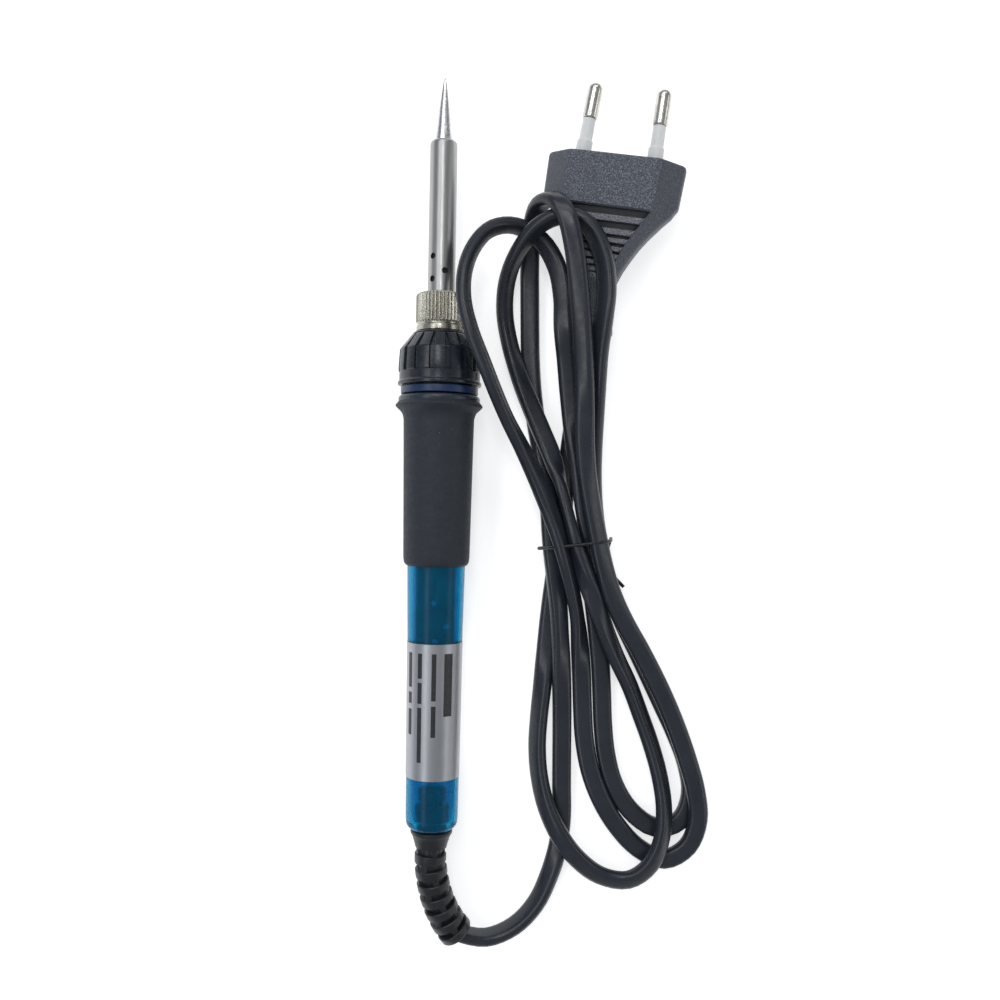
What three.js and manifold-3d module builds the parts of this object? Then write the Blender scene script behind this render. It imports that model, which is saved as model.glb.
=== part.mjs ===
// Pencil soldering iron with screw-on tip shroud, ribbed front collar, rubber grip,
// clear plastic shell with circuit board inside, flat two-core cord and two-pin moulded plug.
// Frame: millimetres, +Y runs along the handle axis towards the tip, +X to the right of it,
// +Z up from the table. Z = 0 is the table; Y = 0 is midway between tip point and shell rear.
import * as THREE from "three";
import * as BufferGeometryUtils from "three/addons/utils/BufferGeometryUtils.js";
import Module from "manifold-3d";

const wasm = await Module();
wasm.setup();

// ---------- driving dimensions (mm) ----------
const AXIS_Z = 11.0;          // handle axis above the table = grip flange radius
const GAP = 0.3;              // clearance between neighbouring pieces
const TIP_Y = 94.75;          // point of the tip
const SHELL_REAR_Y = -94.75;  // rear face of the shell
const PIPE_R = 3.45, PIPE_BORE_R = 3.05, PIPE_FRONT_Y = 78.6;
const NUT_FRONT_Y = 40.0, NUT_REAR_Y = 30.4, NUT_R = 6.3, NUT_FLUTES = 40, NUT_BORE_R = 5.05;
const NIPPLE_R = 4.75, NIPPLE_BORE_R = 3.2, NIPPLE_FLANGE_R = 8.0;
const COLLAR_FRONT_Y = 30.1, COLLAR_REAR_Y = 16.7, COLLAR_R = 10.55, COLLAR_RIBS = 16;
const SHELL_BORE_R = 5.9, NECK_R = 8.2, NECK_RING_R = 9.75;
const GRIP_FRONT_Y = 14.2, GRIP_REAR_Y = -28.5, GRIP_FLANGE_R = 11.0;
const LABEL_FRONT_Y = -47.7, LABEL_REAR_Y = -81.5;
const BOARD = { x: 9.6, y: 38.0, z: 1.2, cy: -53.4, cz: 11.9 };
const CORD_R = 1.45, CORD_SIDES = 8;      // round stand-in for the 5.3 x 3.3 flat cord
const BOOT_BORE_R = 2.8;
const PIN_R = 2.0, PIN_LEN = 19.0, PIN_BASE_X = 9.3, PIN_TIP_X = 8.75, SLEEVE_LEN = 10.0;
const PLUG_HALF_W = 17.65, PLUG_HALF_T = 6.85, PLUG_FLAT = 11.4, PLUG_SIDE = 1.6;
const PLUG_POSE = { yaw: -8.73, pitch: 2.5, roll: -11.2, at: [44.19, 75.01, 9.55] };

const group = new THREE.Group();
group.name = "soldering_iron";
const V = (x, y, z) => new THREE.Vector3(x, y, z);

// ---------- helpers ----------
function weld(geometry) {
  const g = geometry.clone();
  g.deleteAttribute("normal");
  if (g.getAttribute("uv")) g.deleteAttribute("uv");
  return BufferGeometryUtils.mergeVertices(g, 1e-4);
}
function signedVolume(g) {
  const p = g.getAttribute("position"), ix = g.getIndex();
  let v = 0;
  const a = V(), b = V(), c = V();
  for (let i = 0; i < ix.count; i += 3) {
    a.fromBufferAttribute(p, ix.getX(i)); b.fromBufferAttribute(p, ix.getX(i + 1)); c.fromBufferAttribute(p, ix.getX(i + 2));
    v += a.dot(b.clone().cross(c)) / 6;
  }
  return v;
}
// Skin over a list of equal-length point rings. loop joins the last ring to the first
// (a body with a bore); otherwise both ends are closed with a fan.
function loft(rings, loop = false) {
  const n = rings[0].length, pos = [], idx = [];
  rings.forEach(r => r.forEach(p => pos.push(p.x, p.y, p.z)));
  const last = loop ? rings.length : rings.length - 1;
  for (let i = 0; i < last; i++) {
    const a = i * n, b = ((i + 1) % rings.length) * n;
    for (let k = 0; k < n; k++) {
      const m = (k + 1) % n;
      idx.push(a + k, a + m, b + m, a + k, b + m, b + k);
    }
  }
  if (!loop) {
    for (const [ri, rev] of [[0, true], [rings.length - 1, false]]) {
      const c = V(0, 0, 0);
      rings[ri].forEach(p => c.add(p));
      c.multiplyScalar(1 / n);
      const ci = pos.length / 3;
      pos.push(c.x, c.y, c.z);
      for (let k = 0; k < n; k++) {
        const m = (k + 1) % n, a = ri * n;
        if (rev) idx.push(ci, a + m, a + k); else idx.push(ci, a + k, a + m);
      }
    }
  }
  let g = new THREE.BufferGeometry();
  g.setAttribute("position", new THREE.Float32BufferAttribute(pos, 3));
  g.setIndex(idx);
  g = BufferGeometryUtils.mergeVertices(g, 1e-4);
  if (signedVolume(g) < 0) {
    const ix = g.getIndex();
    for (let i = 0; i < ix.count; i += 3) { const t = ix.getX(i + 1); ix.setX(i + 1, ix.getX(i + 2)); ix.setX(i + 2, t); }
  }
  return g;
}
// Turned ring about the handle axis: radius may vary with the angular step.
function turnedRing(y, r, n, x0 = 0, z0 = AXIS_Z) {
  const out = [];
  for (let k = 0; k < n; k++) {
    const a = k * 2 * Math.PI / n, rr = typeof r === "function" ? r(k) : r;
    out.push(V(x0 + rr * Math.cos(a), y, z0 + rr * Math.sin(a)));
  }
  return out;
}
const turned = (profile, n, loop = false, x0 = 0, z0 = AXIS_Z) =>
  loft(profile.map(([y, r]) => turnedRing(y, r, n, x0, z0)), loop);

// Path through fixed points, kept exactly at those points.
class Way extends THREE.Curve {
  constructor(points) { super(); this.points = points; }
  getPoint(t, target = V()) {
    const n = this.points.length - 1, s = Math.min(Math.max(t, 0), 1) * n;
    const i = Math.min(Math.floor(s), n - 1);
    return target.copy(this.points[i]).lerp(this.points[i + 1], s - i);
  }
  getPointAt(u, target) { return this.getPoint(u, target); }
  getTangentAt(u, target) { return this.getTangent(u, target); }
}
function tube(points, radius, sides) {
  const pts = points.map(p => V(...p));
  const section = new THREE.Shape();
  for (let k = 0; k < sides; k++) {
    const a = (k + 0.5) * 2 * Math.PI / sides;
    const x = radius * Math.cos(a), y = radius * Math.sin(a);
    if (k === 0) section.moveTo(x, y); else section.lineTo(x, y);
  }
  section.closePath();
  return weld(new THREE.ExtrudeGeometry(section, { steps: pts.length - 1, bevelEnabled: false, extrudePath: new Way(pts) }));
}
function spline(points, n) {
  return new THREE.CatmullRomCurve3(points.map(p => V(...p)), false, "centripetal").getSpacedPoints(n).map(p => [p.x, p.y, p.z]);
}
function toManifold(g) {
  const w = weld(g);
  return new wasm.Manifold(new wasm.Mesh({
    numProp: 3,
    vertProperties: new Float32Array(w.getAttribute("position").array),
    triVerts: new Uint32Array(w.getIndex().array),
  }));
}
function fromManifold(m) {
  const mesh = m.getMesh();
  const g = new THREE.BufferGeometry();
  const n = mesh.vertProperties.length / mesh.numProp;
  const p = new Float32Array(n * 3);
  for (let i = 0; i < n; i++) for (let k = 0; k < 3; k++) p[3 * i + k] = mesh.vertProperties[i * mesh.numProp + k];
  g.setAttribute("position", new THREE.BufferAttribute(p, 3));
  g.setIndex(new THREE.BufferAttribute(new Uint32Array(mesh.triVerts), 1));
  return g;
}
function box(sx, sy, sz, x, y, z) { return new THREE.BoxGeometry(sx, sy, sz).translate(x, y, z); }
function add(name, geometry, color, roughness, metalness) {
  const g = geometry.getAttribute("normal") ? weld(geometry) : geometry;
  const mesh = new THREE.Mesh(g, new THREE.MeshStandardMaterial({ color, roughness, metalness, flatShading: true }));
  mesh.name = name;
  group.add(mesh);
  return mesh;
}

// ---------- tip: plated cone, shoulder kept behind the pipe mouth, hollow barrel ----------
add("tip", turned([
  [TIP_Y, 0.18], [93.2, 0.58], [91.7, 0.86], [88.7, 1.28], [85.6, 1.66], [82.6, 2.0], [79.6, 2.42], [77.6, 2.42],
  [77.6, 2.85], [42.0, 2.85], [42.0, 2.15], [68.0, 2.15]], 24), 0xd9dadb, 0.18, 1.0);

// ---------- tip shroud: pipe with rolled mouth, vent holes and rear flange ----------
{
  let pipe = toManifold(turned([
    [PIPE_FRONT_Y, 2.72], [PIPE_FRONT_Y, 2.95], [PIPE_FRONT_Y - 0.35, 3.3], [PIPE_FRONT_Y - 0.95, PIPE_R],
    [37.7, PIPE_R], [37.7, 4.65], [36.9, 4.65], [36.9, PIPE_BORE_R],
    [PIPE_FRONT_Y - 0.6, PIPE_BORE_R], [PIPE_FRONT_Y - 0.6, 2.72]], 28, true));
  for (const [y, deg] of [[49.1, -37.5], [45.4, 17], [43.4, -39]]) {
    const hole = turned([[2.3, 0.7], [4.2, 0.7]], 10, false, 0, 0);   // short stub along +Y
    const bothSides = [0, 180];
    for (const add180 of bothSides) {
      const a = (deg + add180) * Math.PI / 180;                        // angle from straight up, towards +X
      const m = new THREE.Matrix4().makeBasis(V(0, 1, 0), V(Math.sin(a), 0, Math.cos(a)), V(Math.cos(a), 0, -Math.sin(a)));
      const g = hole.clone().applyMatrix4(m);
      g.translate(0, y, AXIS_Z);
      if (signedVolume(g) < 0) throw new Error("hole tool inside out");
      pipe = pipe.subtract(toManifold(g));
    }
  }
  add("tip_shroud", fromManifold(pipe), 0xb6bbc2, 0.3, 1.0);
}

// ---------- knurled shroud nut ----------
{
  const n = NUT_FLUTES * 2, teeth = k => (k % 2 ? NUT_R - 0.38 : NUT_R), mouth = k => (k % 2 ? 5.5 : 5.6);
  add("shroud_nut", turned([
    [NUT_FRONT_Y, mouth], [NUT_FRONT_Y - 0.6, teeth], [32.6, teeth], [32.35, 5.7], [31.9, 5.7],
    [31.75, 6.15], [NUT_REAR_Y, 6.15], [NUT_REAR_Y, NUT_BORE_R], [38.0, NUT_BORE_R], [38.0, 3.75], [NUT_FRONT_Y, 3.75]],
    n, true), 0xcdc9bd, 0.28, 1.0);
}

// ---------- threaded nipple carrying the heater ----------
add("heater_nipple", turned([
  [36.6, 4.5], [36.2, NIPPLE_R], [22.1, NIPPLE_R], [22.1, NIPPLE_FLANGE_R], [20.2, NIPPLE_FLANGE_R], [20.2, 4.6],
  [14.3, 4.6], [14.3, NIPPLE_BORE_R], [36.6, NIPPLE_BORE_R]], 32, true), 0xc9b27a, 0.35, 1.0);
add("heater_base", turned([[26.0, 2.9], [14.6, 2.9], [14.6, 2.1], [26.0, 2.1]], 20, true), 0xe9e3d3, 0.8, 0.0);
add("heater_rod", turned([[66.0, 1.5], [65.5, 1.8], [15.0, 1.8]], 20), 0xf0ece2, 0.6, 0.0);

// ---------- ribbed front collar ----------
{
  const n = COLLAR_RIBS * 4;
  const rib = (hi, lo) => k => (k % 4 === 0 ? lo : hi);
  add("front_collar", turned([
    [COLLAR_FRONT_Y, 6.8], [29.3, rib(7.45, 6.95)], [25.7, rib(10.15, 9.5)], [20.3, rib(10.45, 9.8)], [20.2, 10.2],
    [17.9, 10.2], [17.6, COLLAR_R], [COLLAR_REAR_Y, COLLAR_R], [COLLAR_REAR_Y, 8.5], [22.4, 8.5], [22.4, 5.1],
    [COLLAR_FRONT_Y, 5.1]], n, true), 0x202428, 0.35, 0.0);
}

// ---------- clear shell: threaded neck, stop ring, tapered body, holed rear web ----------
add("body_shell", turned([
  [19.9, 7.9], [19.5, NECK_R], [16.4, NECK_R], [16.4, NECK_RING_R], [14.5, NECK_RING_R], [14.5, 7.5],
  [-28.2, 7.5], [-28.5, 7.3], [-47.0, 6.95], [-92.6, 6.6], [-94.2, 6.1], [SHELL_REAR_Y, 5.2],
  [SHELL_REAR_Y, 3.8], [-92.9, 3.8], [-92.9, 5.6], [-89.0, SHELL_BORE_R - 0.2], [-30.0, SHELL_BORE_R], [19.9, SHELL_BORE_R]],
  36, true), 0x0f6fa8, 0.25, 0.0);

// ---------- rubber grip ----------
add("grip_sleeve", turned([
  [GRIP_FRONT_Y, 9.5], [13.9, 10.5], [13.2, 10.9], [12.6, GRIP_FLANGE_R], [11.7, 10.75], [10.6, 9.9], [9.6, 9.25], [8.4, 8.9],
  [-26.9, 8.35], [-27.9, 8.15], [GRIP_REAR_Y, 7.85], [GRIP_REAR_Y + 0.1, 7.8], [GRIP_FRONT_Y, 7.8]], 36, true), 0x2c3236, 0.85, 0.0);

// ---------- rating sleeve round the shell (plain, no lettering) ----------
{
  const r = y => 6.95 + (-47.0 - y) / (92.6 - 47.0) * (6.6 - 6.95);
  add("rating_label", turned([
    [LABEL_FRONT_Y, r(LABEL_FRONT_Y) + 0.35], [LABEL_REAR_Y, r(LABEL_REAR_Y) + 0.35],
    [LABEL_REAR_Y, r(LABEL_REAR_Y) + 0.15], [LABEL_FRONT_Y, r(LABEL_FRONT_Y) + 0.15]], 36, true), 0xb9bcbe, 0.3, 0.8);
}

// ---------- circuit board and what stands on it ----------
{
  const top = BOARD.cz + BOARD.z / 2 + GAP;
  add("circuit_board", box(BOARD.x, BOARD.y, BOARD.z, 0, BOARD.cy, BOARD.cz), 0x2f6b3a, 0.6, 0.0);
  add("film_capacitor", box(4.6, 7.0, 3.0, 0, -42.5, top + 1.5), 0xb5532a, 0.45, 0.0);
  add("triac", box(4.4, 4.6, 2.8, 0, -50.6, top + 1.4), 0x17181a, 0.5, 0.0);
  const roll = (r, len, y) => new THREE.CylinderGeometry(r, r, len, 12).rotateZ(Math.PI / 2).translate(0, y, top + r);
  add("resistor", roll(1.1, 6.2, -57.4), 0xc8b48a, 0.5, 0.0);
  add("rectifier_diode", roll(1.0, 5.0, -63.0), 0x1d1d1f, 0.4, 0.0);
}
const lead = (name, pts, n, color) => add(name, tube(spline(pts, n), 0.55, 8), color, 0.5, 0.0);
lead("heater_lead_left", [[-1.2, 14.1, 11.0], [-2.2, 6, 10.6], [-2.6, -14, 10.9], [-2.4, -34.0, 11.9]], 8, 0xe8e6df);
lead("heater_lead_right", [[1.2, 14.1, 11.0], [2.4, 4, 11.2], [2.8, -16, 11.4], [2.4, -34.0, 11.9]], 8, 0xe8e6df);
lead("mains_core_brown", [[-0.7, -83.6, 11.0], [-1.2, -80, 11.2], [-2.6, -76, 11.8], [-2.6, -72.8, 11.9]], 5, 0x5a3420);
lead("mains_core_blue", [[0.7, -83.6, 11.0], [1.2, -80, 11.2], [2.6, -76, 11.8], [2.6, -72.8, 11.9]], 5, 0x2a5fb0);
add("cord_clamp", turned([[-85.0, 3.6], [-87.6, 3.6], [-87.6, 1.8], [-85.0, 1.8]], 16, true), 0xe6e6e2, 0.5, 0.0);

// ---------- strain relief boot: inner flange, neck through the rear web, cone, ribbed bend ----------
const BOOT_WAY = [[0, -89.0, 11], [0, -95.05, 11], [-0.15, -103.1, 10.8], [1.1, -111.3, 9.6], [3.6, -118.2, 7.9], [6.6, -123.1, 6.3]];
{
  const curve = new THREE.CatmullRomCurve3(BOOT_WAY.map(p => V(...p)), false, "centripetal");
  const total = curve.getLength();
  const prof = [[0, 4.3], [3.6, 4.3], [3.6, 3.5], [6.05, 3.5], [6.05, 5.3], [6.9, 5.3], [7.4, 4.95], [11.0, 3.95]];
  const ribs = 6, s0 = 11.0, pitch = (total - s0) / ribs;
  for (let k = 0; k < ribs; k++) {
    const s = s0 + k * pitch, r = 4.0 + 0.42 * (k + 1) / ribs;
    prof.push([s + 0.05, 3.35], [s + pitch * 0.4, 3.35], [s + pitch * 0.4 + 0.05, r], [s + pitch, r]);
  }
  const n = 14;
  const frameAt = s => {
    const u = Math.min(s / total, 1), p = curve.getPointAt(u), t = curve.getTangentAt(u).normalize();
    const side = V(0, 0, 1).cross(t).normalize(), up = t.clone().cross(side);
    return { p, side, up };
  };
  const ring = (s, r) => {
    const f = frameAt(s), out = [];
    for (let k = 0; k < n; k++) {
      const a = k * 2 * Math.PI / n;
      out.push(f.p.clone().addScaledVector(f.side, r * Math.cos(a)).addScaledVector(f.up, r * Math.sin(a)));
    }
    return out;
  };
  const outer = prof.map(([s, r]) => ring(s, r));
  const inner = [];
  for (let k = 10; k >= 0; k--) inner.push(ring(total * k / 10, BOOT_BORE_R));
  add("cord_boot", loft([...outer, ...inner], true), 0x1d2023, 0.8, 0.0);
}

// ---------- flat two-core cord, real length, as laid out ----------
const CORD_WAY = [
  [0, -84, 11], [0, -90, 11], [0, -96, 11], [-0.15, -103.1, 10.8], [1.1, -111.3, 9.6],
  [3.6, -118.2, 7.9], [6.78, -123.28, 6.2], [17.79, -124.65, 3.49], [26.38, -117.87, 2.37], [31.99, -104.73, 1.72],
  [33.39, -88.7, 1.72], [33.04, -67.81, 2.11], [32.27, -48.29, 3.57], [30.31, -29.25, 5.65], [28.46, -11.56, 4.82],
  [25.34, 6.71, 2.5], [23.17, 25.03, 1.9], [22.56, 44.32, 2.46], [22.75, 57.59, 5.22], [24.84, 63.18, 11.67],
  [29.13, 61.44, 17.38], [32.86, 50.52, 18.15], [35.19, 32.92, 16.88], [36.61, 13.76, 13.48], [37.64, -4.69, 10.62],
  [41.38, -23.34, 9.01], [46.68, -39.37, 7.64], [55.8, -55.52, 6.25], [63.54, -72.66, 5.68], [68.3, -88.7, 4.67],
  [67.12, -99.67, 3.09], [60.76, -104.85, 1.87], [52.26, -100.92, 1.72], [43.8, -89.77, 2.02], [39.23, -75.26, 2.31],
  [37.9, -56.96, 2.85], [36, -39.63, 5.1], [31.47, -22.66, 8.56], [25.12, -6.44, 10.41], [17.65, 7.67, 15.14],
  [10.96, 22.53, 20.66], [6.55, 35.19, 21.42], [6.8, 47.05, 17.63], [11.89, 56, 12.59], [19.91, 57.62, 8.53],
  [27.54, 51.99, 7.16], [30.8, 40.82, 10.01], [31.28, 29.86, 12.98], [32.95, 16.65, 8.09], [35.23, -1.48, 7.65],
  [37.78, -19.63, 6.87], [40.73, -37.88, 3.88], [43.04, -56.35, 1.98], [44.34, -74.78, 1.77], [48.48, -88.25, 1.91],
  [56.08, -95.82, 1.87], [63.81, -95.22, 1.74], [67.12, -87.13, 1.73], [63.69, -73.92, 1.97], [55.03, -55.87, 2.23],
  [46.43, -38.43, 3], [41.51, -21.91, 4.37], [39.49, -4.29, 6.49], [39.7, 14.02, 10.04], [40.26, 29.98, 14.99],
  [41.18, 44.12, 15.61], [37.54, 55.24, 16.04], [30.55, 59.21, 14.45], [22.26, 55.06, 11.21], [16.91, 45.78, 5.7],
  [16.65, 33.42, 3.23], [21.05, 18.02, 4.51], [28.52, 0.51, 6.86], [33.41, -16.41, 7.88], [38.71, -32.93, 8.09],
  [45.64, -49.72, 5.29], [52.77, -65.2, 2.98], [58.24, -81.16, 3.53], [59.61, -95.6, 5.13], [55.76, -106.19, 4.95],
  [48.08, -109.99, 3.67], [38.9, -105.55, 4.26], [31.03, -95.11, 5.13], [27.11, -81.48, 2.9], [27.36, -64.73, 2.1],
  [28.92, -43.93, 1.85], [31.31, -24.28, 2.62], [33.07, -5.65, 2.5], [35.25, 12.43, 3.83], [37.64, 24.99, 6.86],
  [38.28, 29.92, 7.66], [38.96, 35.78, 7.98],
];
add("power_cord", tube(CORD_WAY, CORD_R, CORD_SIDES), 0x1b1e22, 0.4, 0.0);

// ---------- twist tie: tail, once round the seven strands ----------
const TIE_WAY = [
  [49.3, -33.77, 3.6], [48.08, -30.93, 3.6], [46.97, -27.82, 3.7], [46.11, -24.96, 3.9], [44.64, -21.45, 4.91],
  [44.46, -21.52, 6.8], [44.2, -21.6, 8.69], [43.35, -21.74, 10.36], [41.8, -21.94, 11.44], [39.96, -22.18, 11.81],
  [38.06, -22.42, 11.79], [36.17, -22.66, 11.77], [34.27, -22.9, 11.76], [32.37, -23.14, 11.74], [30.48, -23.38, 11.69],
  [29.05, -23.57, 10.54], [27.96, -23.73, 8.98], [26.88, -23.89, 7.41], [26.12, -24.02, 5.71], [26.91, -24, 4.01],
  [28.05, -23.94, 2.49], [29.31, -23.87, 1.06], [31.12, -23.75, 0.54], [33.01, -23.62, 0.71], [34.91, -23.49, 0.94],
  [36.8, -23.36, 1.17], [38.69, -23.23, 1.4], [40.58, -23.1, 1.62], [42.42, -22.97, 2.09],
];
add("twist_tie", tube(TIE_WAY, 0.45, 6), 0x141516, 0.5, 0.0);

// ---------- moulded two-pin plug ----------
{
  const e = new THREE.Euler(PLUG_POSE.pitch * Math.PI / 180, PLUG_POSE.roll * Math.PI / 180, PLUG_POSE.yaw * Math.PI / 180, "ZXY");
  const place = new THREE.Matrix4().makeRotationFromEuler(e).setPosition(...PLUG_POSE.at);
  // outline at one station: half width w, half thickness t, flat half width b, side half height s, roundness q
  const station = (y, w, t, b, s, q, dz = 0, x0 = 0) => {
    const hex = [[w, -s], [w, s], [(w + b) / 2, (s + t) / 2], [b, t + dz], [b / 3, t + dz], [-b / 3, t + dz], [-b, t + dz], [-(w + b) / 2, (s + t) / 2],
      [-w, s], [-w, -s], [-(w + b) / 2, -(s + t) / 2], [-b, -t - dz], [-b / 3, -t - dz], [b / 3, -t - dz], [b, -t - dz], [(w + b) / 2, -(s + t) / 2]];
    return hex.map(([x, z], k) => {
      const a = (k - 0.5) * Math.PI / 8, cx = w * Math.cos(a), cz = t * Math.sin(a);
      return V(x0 + x + (cx - x) * q, y, z + (cz - z) * q);
    });
  };
  const rows = [
    [0.0, 17.25, 6.45, 11.2, PLUG_SIDE, 0], [-0.4, PLUG_HALF_W, PLUG_HALF_T, PLUG_FLAT, PLUG_SIDE, 0],
    [-11.2, 17.3, PLUG_HALF_T, PLUG_FLAT, PLUG_SIDE, 0], [-12.9, 16.3, 6.8, 11.2, 1.8, 0]];
  const widthAt = y => { // half width of the flare
    const k = [[-12.9, 16.3], [-18.5, 11.4], [-24.5, 7.7], [-30, 5.2], [-34, 4.4], [-40, 4.3]];
    for (let i = 1; i < k.length; i++) if (y >= k[i][0]) { const f = (y - k[i][0]) / (k[i - 1][0] - k[i][0]); return k[i][1] + f * (k[i - 1][1] - k[i][1]); }
    return 4.3;
  };
  const RIDGES = 7, PITCH = 2.1;
  for (let k = 0; k < RIDGES; k++) {
    for (const [o, dz] of [[0.0, -0.55], [0.95, -0.55], [1.05, 0.0], [2.0, 0.0]]) {
      const y = -14.2 - k * PITCH - o, f = Math.min(1, (-14.2 - y) / 16);
      const w = widthAt(y), t = 6.6 - 1.9 * f, b = Math.min(w * 0.72, 10.4 - 6.4 * f), q = 0.15 + 0.6 * f;
      rows.push([y, w, t, b, 1.8, q, dz]);
    }
  }
  rows.push([-31.0, 4.9, 4.6, 3.4, 1.8, 0.95], [-34.0, 4.4, 4.3, 3.0, 1.8, 1], [-40.4, 4.3, 4.2, 3.0, 1.8, 1, 0, 0.3],
    [-40.6, 5.4, 5.3, 3.2, 1.8, 1, 0, 0.5], [-44.0, 5.4, 5.3, 3.2, 1.8, 1, 0, 0.8], [-44.5, 5.0, 4.9, 3.2, 1.8, 1, 0, 0.9]);
  const skin = rows.map(r => station(r[0], r[1], r[2], r[3], r[4], r[5], r[6] || 0, r[7] || 0));
  // blind bore where the cord enters the tail
  skin.push(station(-44.5, 2.9, 2.1, 2, 1, 1, 0, 1.1), station(-38.6, 2.9, 2.1, 2, 1, 1, 0, 0.6));
  // pin pockets: the moulding closes round the pin roots
  let body = toManifold(loft(skin));
  const pinParts = [];
  for (const side of [-1, 1]) {
    const yawPin = Math.atan2(-side * (PIN_BASE_X - PIN_TIP_X), PIN_LEN);   // both pins lean in towards each other
    const lean = new THREE.Matrix4().makeRotationZ(-yawPin).setPosition(side * PIN_BASE_X, 0, 0);
    const socket = turned([[-7.0, 2.35], [1.0, 2.35]], 16, false, 0, 0).applyMatrix4(lean);
    body = body.subtract(toManifold(socket));
    const pin = turned([[-6.5, 1.6], [0.2, 1.6], [0.3, 1.35], [9.8, 1.35], [9.9, PIN_R], [18.2, PIN_R], [18.8, 1.55], [PIN_LEN, 1.0]], 16, false, 0, 0).applyMatrix4(lean);
    const sleeve = turned([[0.35, 2.0], [4.1, 2.0], [4.3, 1.7], [SLEEVE_LEN - 0.2, 1.7], [SLEEVE_LEN - 0.2, 1.4], [0.35, 1.4]], 16, true, 0, 0).applyMatrix4(lean);
    pinParts.push([side < 0 ? "left" : "right", pin, sleeve]);
  }
  add("plug_body", fromManifold(body).applyMatrix4(place), 0x24272b, 0.6, 0.0);
  for (const [side, pin, sleeve] of pinParts) {
    add(`plug_pin_${side}`, pin.applyMatrix4(place), 0xcfd2d6, 0.2, 1.0);
    add(`pin_sleeve_${side}`, sleeve.applyMatrix4(place), 0xe9e9e6, 0.5, 0.0);
  }
}

export default group;
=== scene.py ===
import math
import bpy, bmesh
import numpy as np
from mathutils import Vector, Matrix


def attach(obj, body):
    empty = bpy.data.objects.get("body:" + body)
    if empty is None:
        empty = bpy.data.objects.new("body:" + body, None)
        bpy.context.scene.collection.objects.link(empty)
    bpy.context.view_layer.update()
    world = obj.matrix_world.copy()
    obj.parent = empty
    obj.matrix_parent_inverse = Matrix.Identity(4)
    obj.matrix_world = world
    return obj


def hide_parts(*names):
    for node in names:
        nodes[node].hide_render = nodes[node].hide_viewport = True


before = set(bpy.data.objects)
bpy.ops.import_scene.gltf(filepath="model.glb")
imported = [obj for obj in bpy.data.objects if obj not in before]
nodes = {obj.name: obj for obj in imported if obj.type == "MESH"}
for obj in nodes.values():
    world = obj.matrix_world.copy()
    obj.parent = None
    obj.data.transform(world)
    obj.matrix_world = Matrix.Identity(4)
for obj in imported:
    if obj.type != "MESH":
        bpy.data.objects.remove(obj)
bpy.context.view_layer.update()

MM = 0.001
AXIS_Z = 11.0

# ------------------------------------------------------------------ camera
scene = bpy.context.scene
cam_data = bpy.data.cameras.new("view")
cam_data.sensor_width = 36.0
cam_data.lens = 36.0
cam_data.clip_start = 0.01
cam_data.clip_end = 20.0
cam = bpy.data.objects.new("view", cam_data)
scene.collection.objects.link(cam)
cam.location = (15.82 * MM, -11.73 * MM, 264.0 * MM)
cam.rotation_euler = (0.0, 0.0, math.radians(1.05))
scene.camera = cam

# ------------------------------------------------------------------ mesh helpers
def new_object(name, verts, faces, sharp=32.0):
    me = bpy.data.meshes.new(name)
    me.from_pydata([tuple(float(c) * MM for c in v) for v in verts], [], faces)
    me.validate()
    bm = bmesh.new()
    bm.from_mesh(me)
    bmesh.ops.remove_doubles(bm, verts=bm.verts, dist=1e-7)
    bmesh.ops.recalc_face_normals(bm, faces=bm.faces)
    if bm.calc_volume(signed=True) < 0:
        bmesh.ops.reverse_faces(bm, faces=bm.faces)
    bm.to_mesh(me)
    bm.free()
    me.polygons.foreach_set("use_smooth", [True] * len(me.polygons))
    me.set_sharp_from_angle(angle=math.radians(sharp))
    ob = bpy.data.objects.new(name, me)
    scene.collection.objects.link(ob)
    return ob

def loft(rings, loop=False, cap=True):
    n = len(rings[0])
    verts = [v for r in rings for v in r]
    faces = []
    last = len(rings) if loop else len(rings) - 1
    for i in range(last):
        a, b = i * n, ((i + 1) % len(rings)) * n
        for k in range(n):
            m = (k + 1) % n
            faces.append((a + k, a + m, b + m, b + k))
    if not loop and cap:
        faces.append(tuple(range(n))[::-1])
        base = (len(rings) - 1) * n
        faces.append(tuple(range(base, base + n)))
    return verts, faces

def rounded(points, seg=5):
    """Profile [(y, r, corner radius)] -> [(y, r)] with its corners turned into arcs."""
    out = []
    n = len(points)
    for i, (y, r, rad) in enumerate(points):
        p = np.array((y, r), float)
        if rad <= 0:
            out.append((y, r))
            continue
        a = np.array(points[(i - 1) % n][:2], float) - p
        b = np.array(points[(i + 1) % n][:2], float) - p
        la, lb = np.linalg.norm(a), np.linalg.norm(b)
        if la < 1e-9 or lb < 1e-9:
            out.append((y, r))
            continue
        d = min(rad, 0.49 * la, 0.49 * lb)
        s, e = p + a / la * d, p + b / lb * d
        for t in np.linspace(0, 1, seg + 1):
            q = (1 - t) ** 2 * s + 2 * t * (1 - t) * p + t * t * e
            out.append((q[0], q[1]))
    return out

def turned(name, profile, n=96, loop=True, radial=None, sharp=32.0, frame_at=None):
    """Turned piece about the handle axis. radial(y, r, angle) may change the radius. Angles run from straight up towards +X."""
    ang = np.arange(n) * 2 * math.pi / n
    rings = []
    for y, r in profile:
        rr = np.array([radial(y, r, a) for a in ang]) if radial else np.full(n, r)
        ring = np.stack([rr * np.sin(ang), np.full(n, y), rr * np.cos(ang)], 1)
        if frame_at is None:
            ring[:, 2] += AXIS_Z
        else:
            ring = ring @ frame_at[0].T + frame_at[1]
        rings.append([tuple(v) for v in ring])
    return new_object(name, *loft(rings, loop=loop), sharp=sharp)

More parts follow.
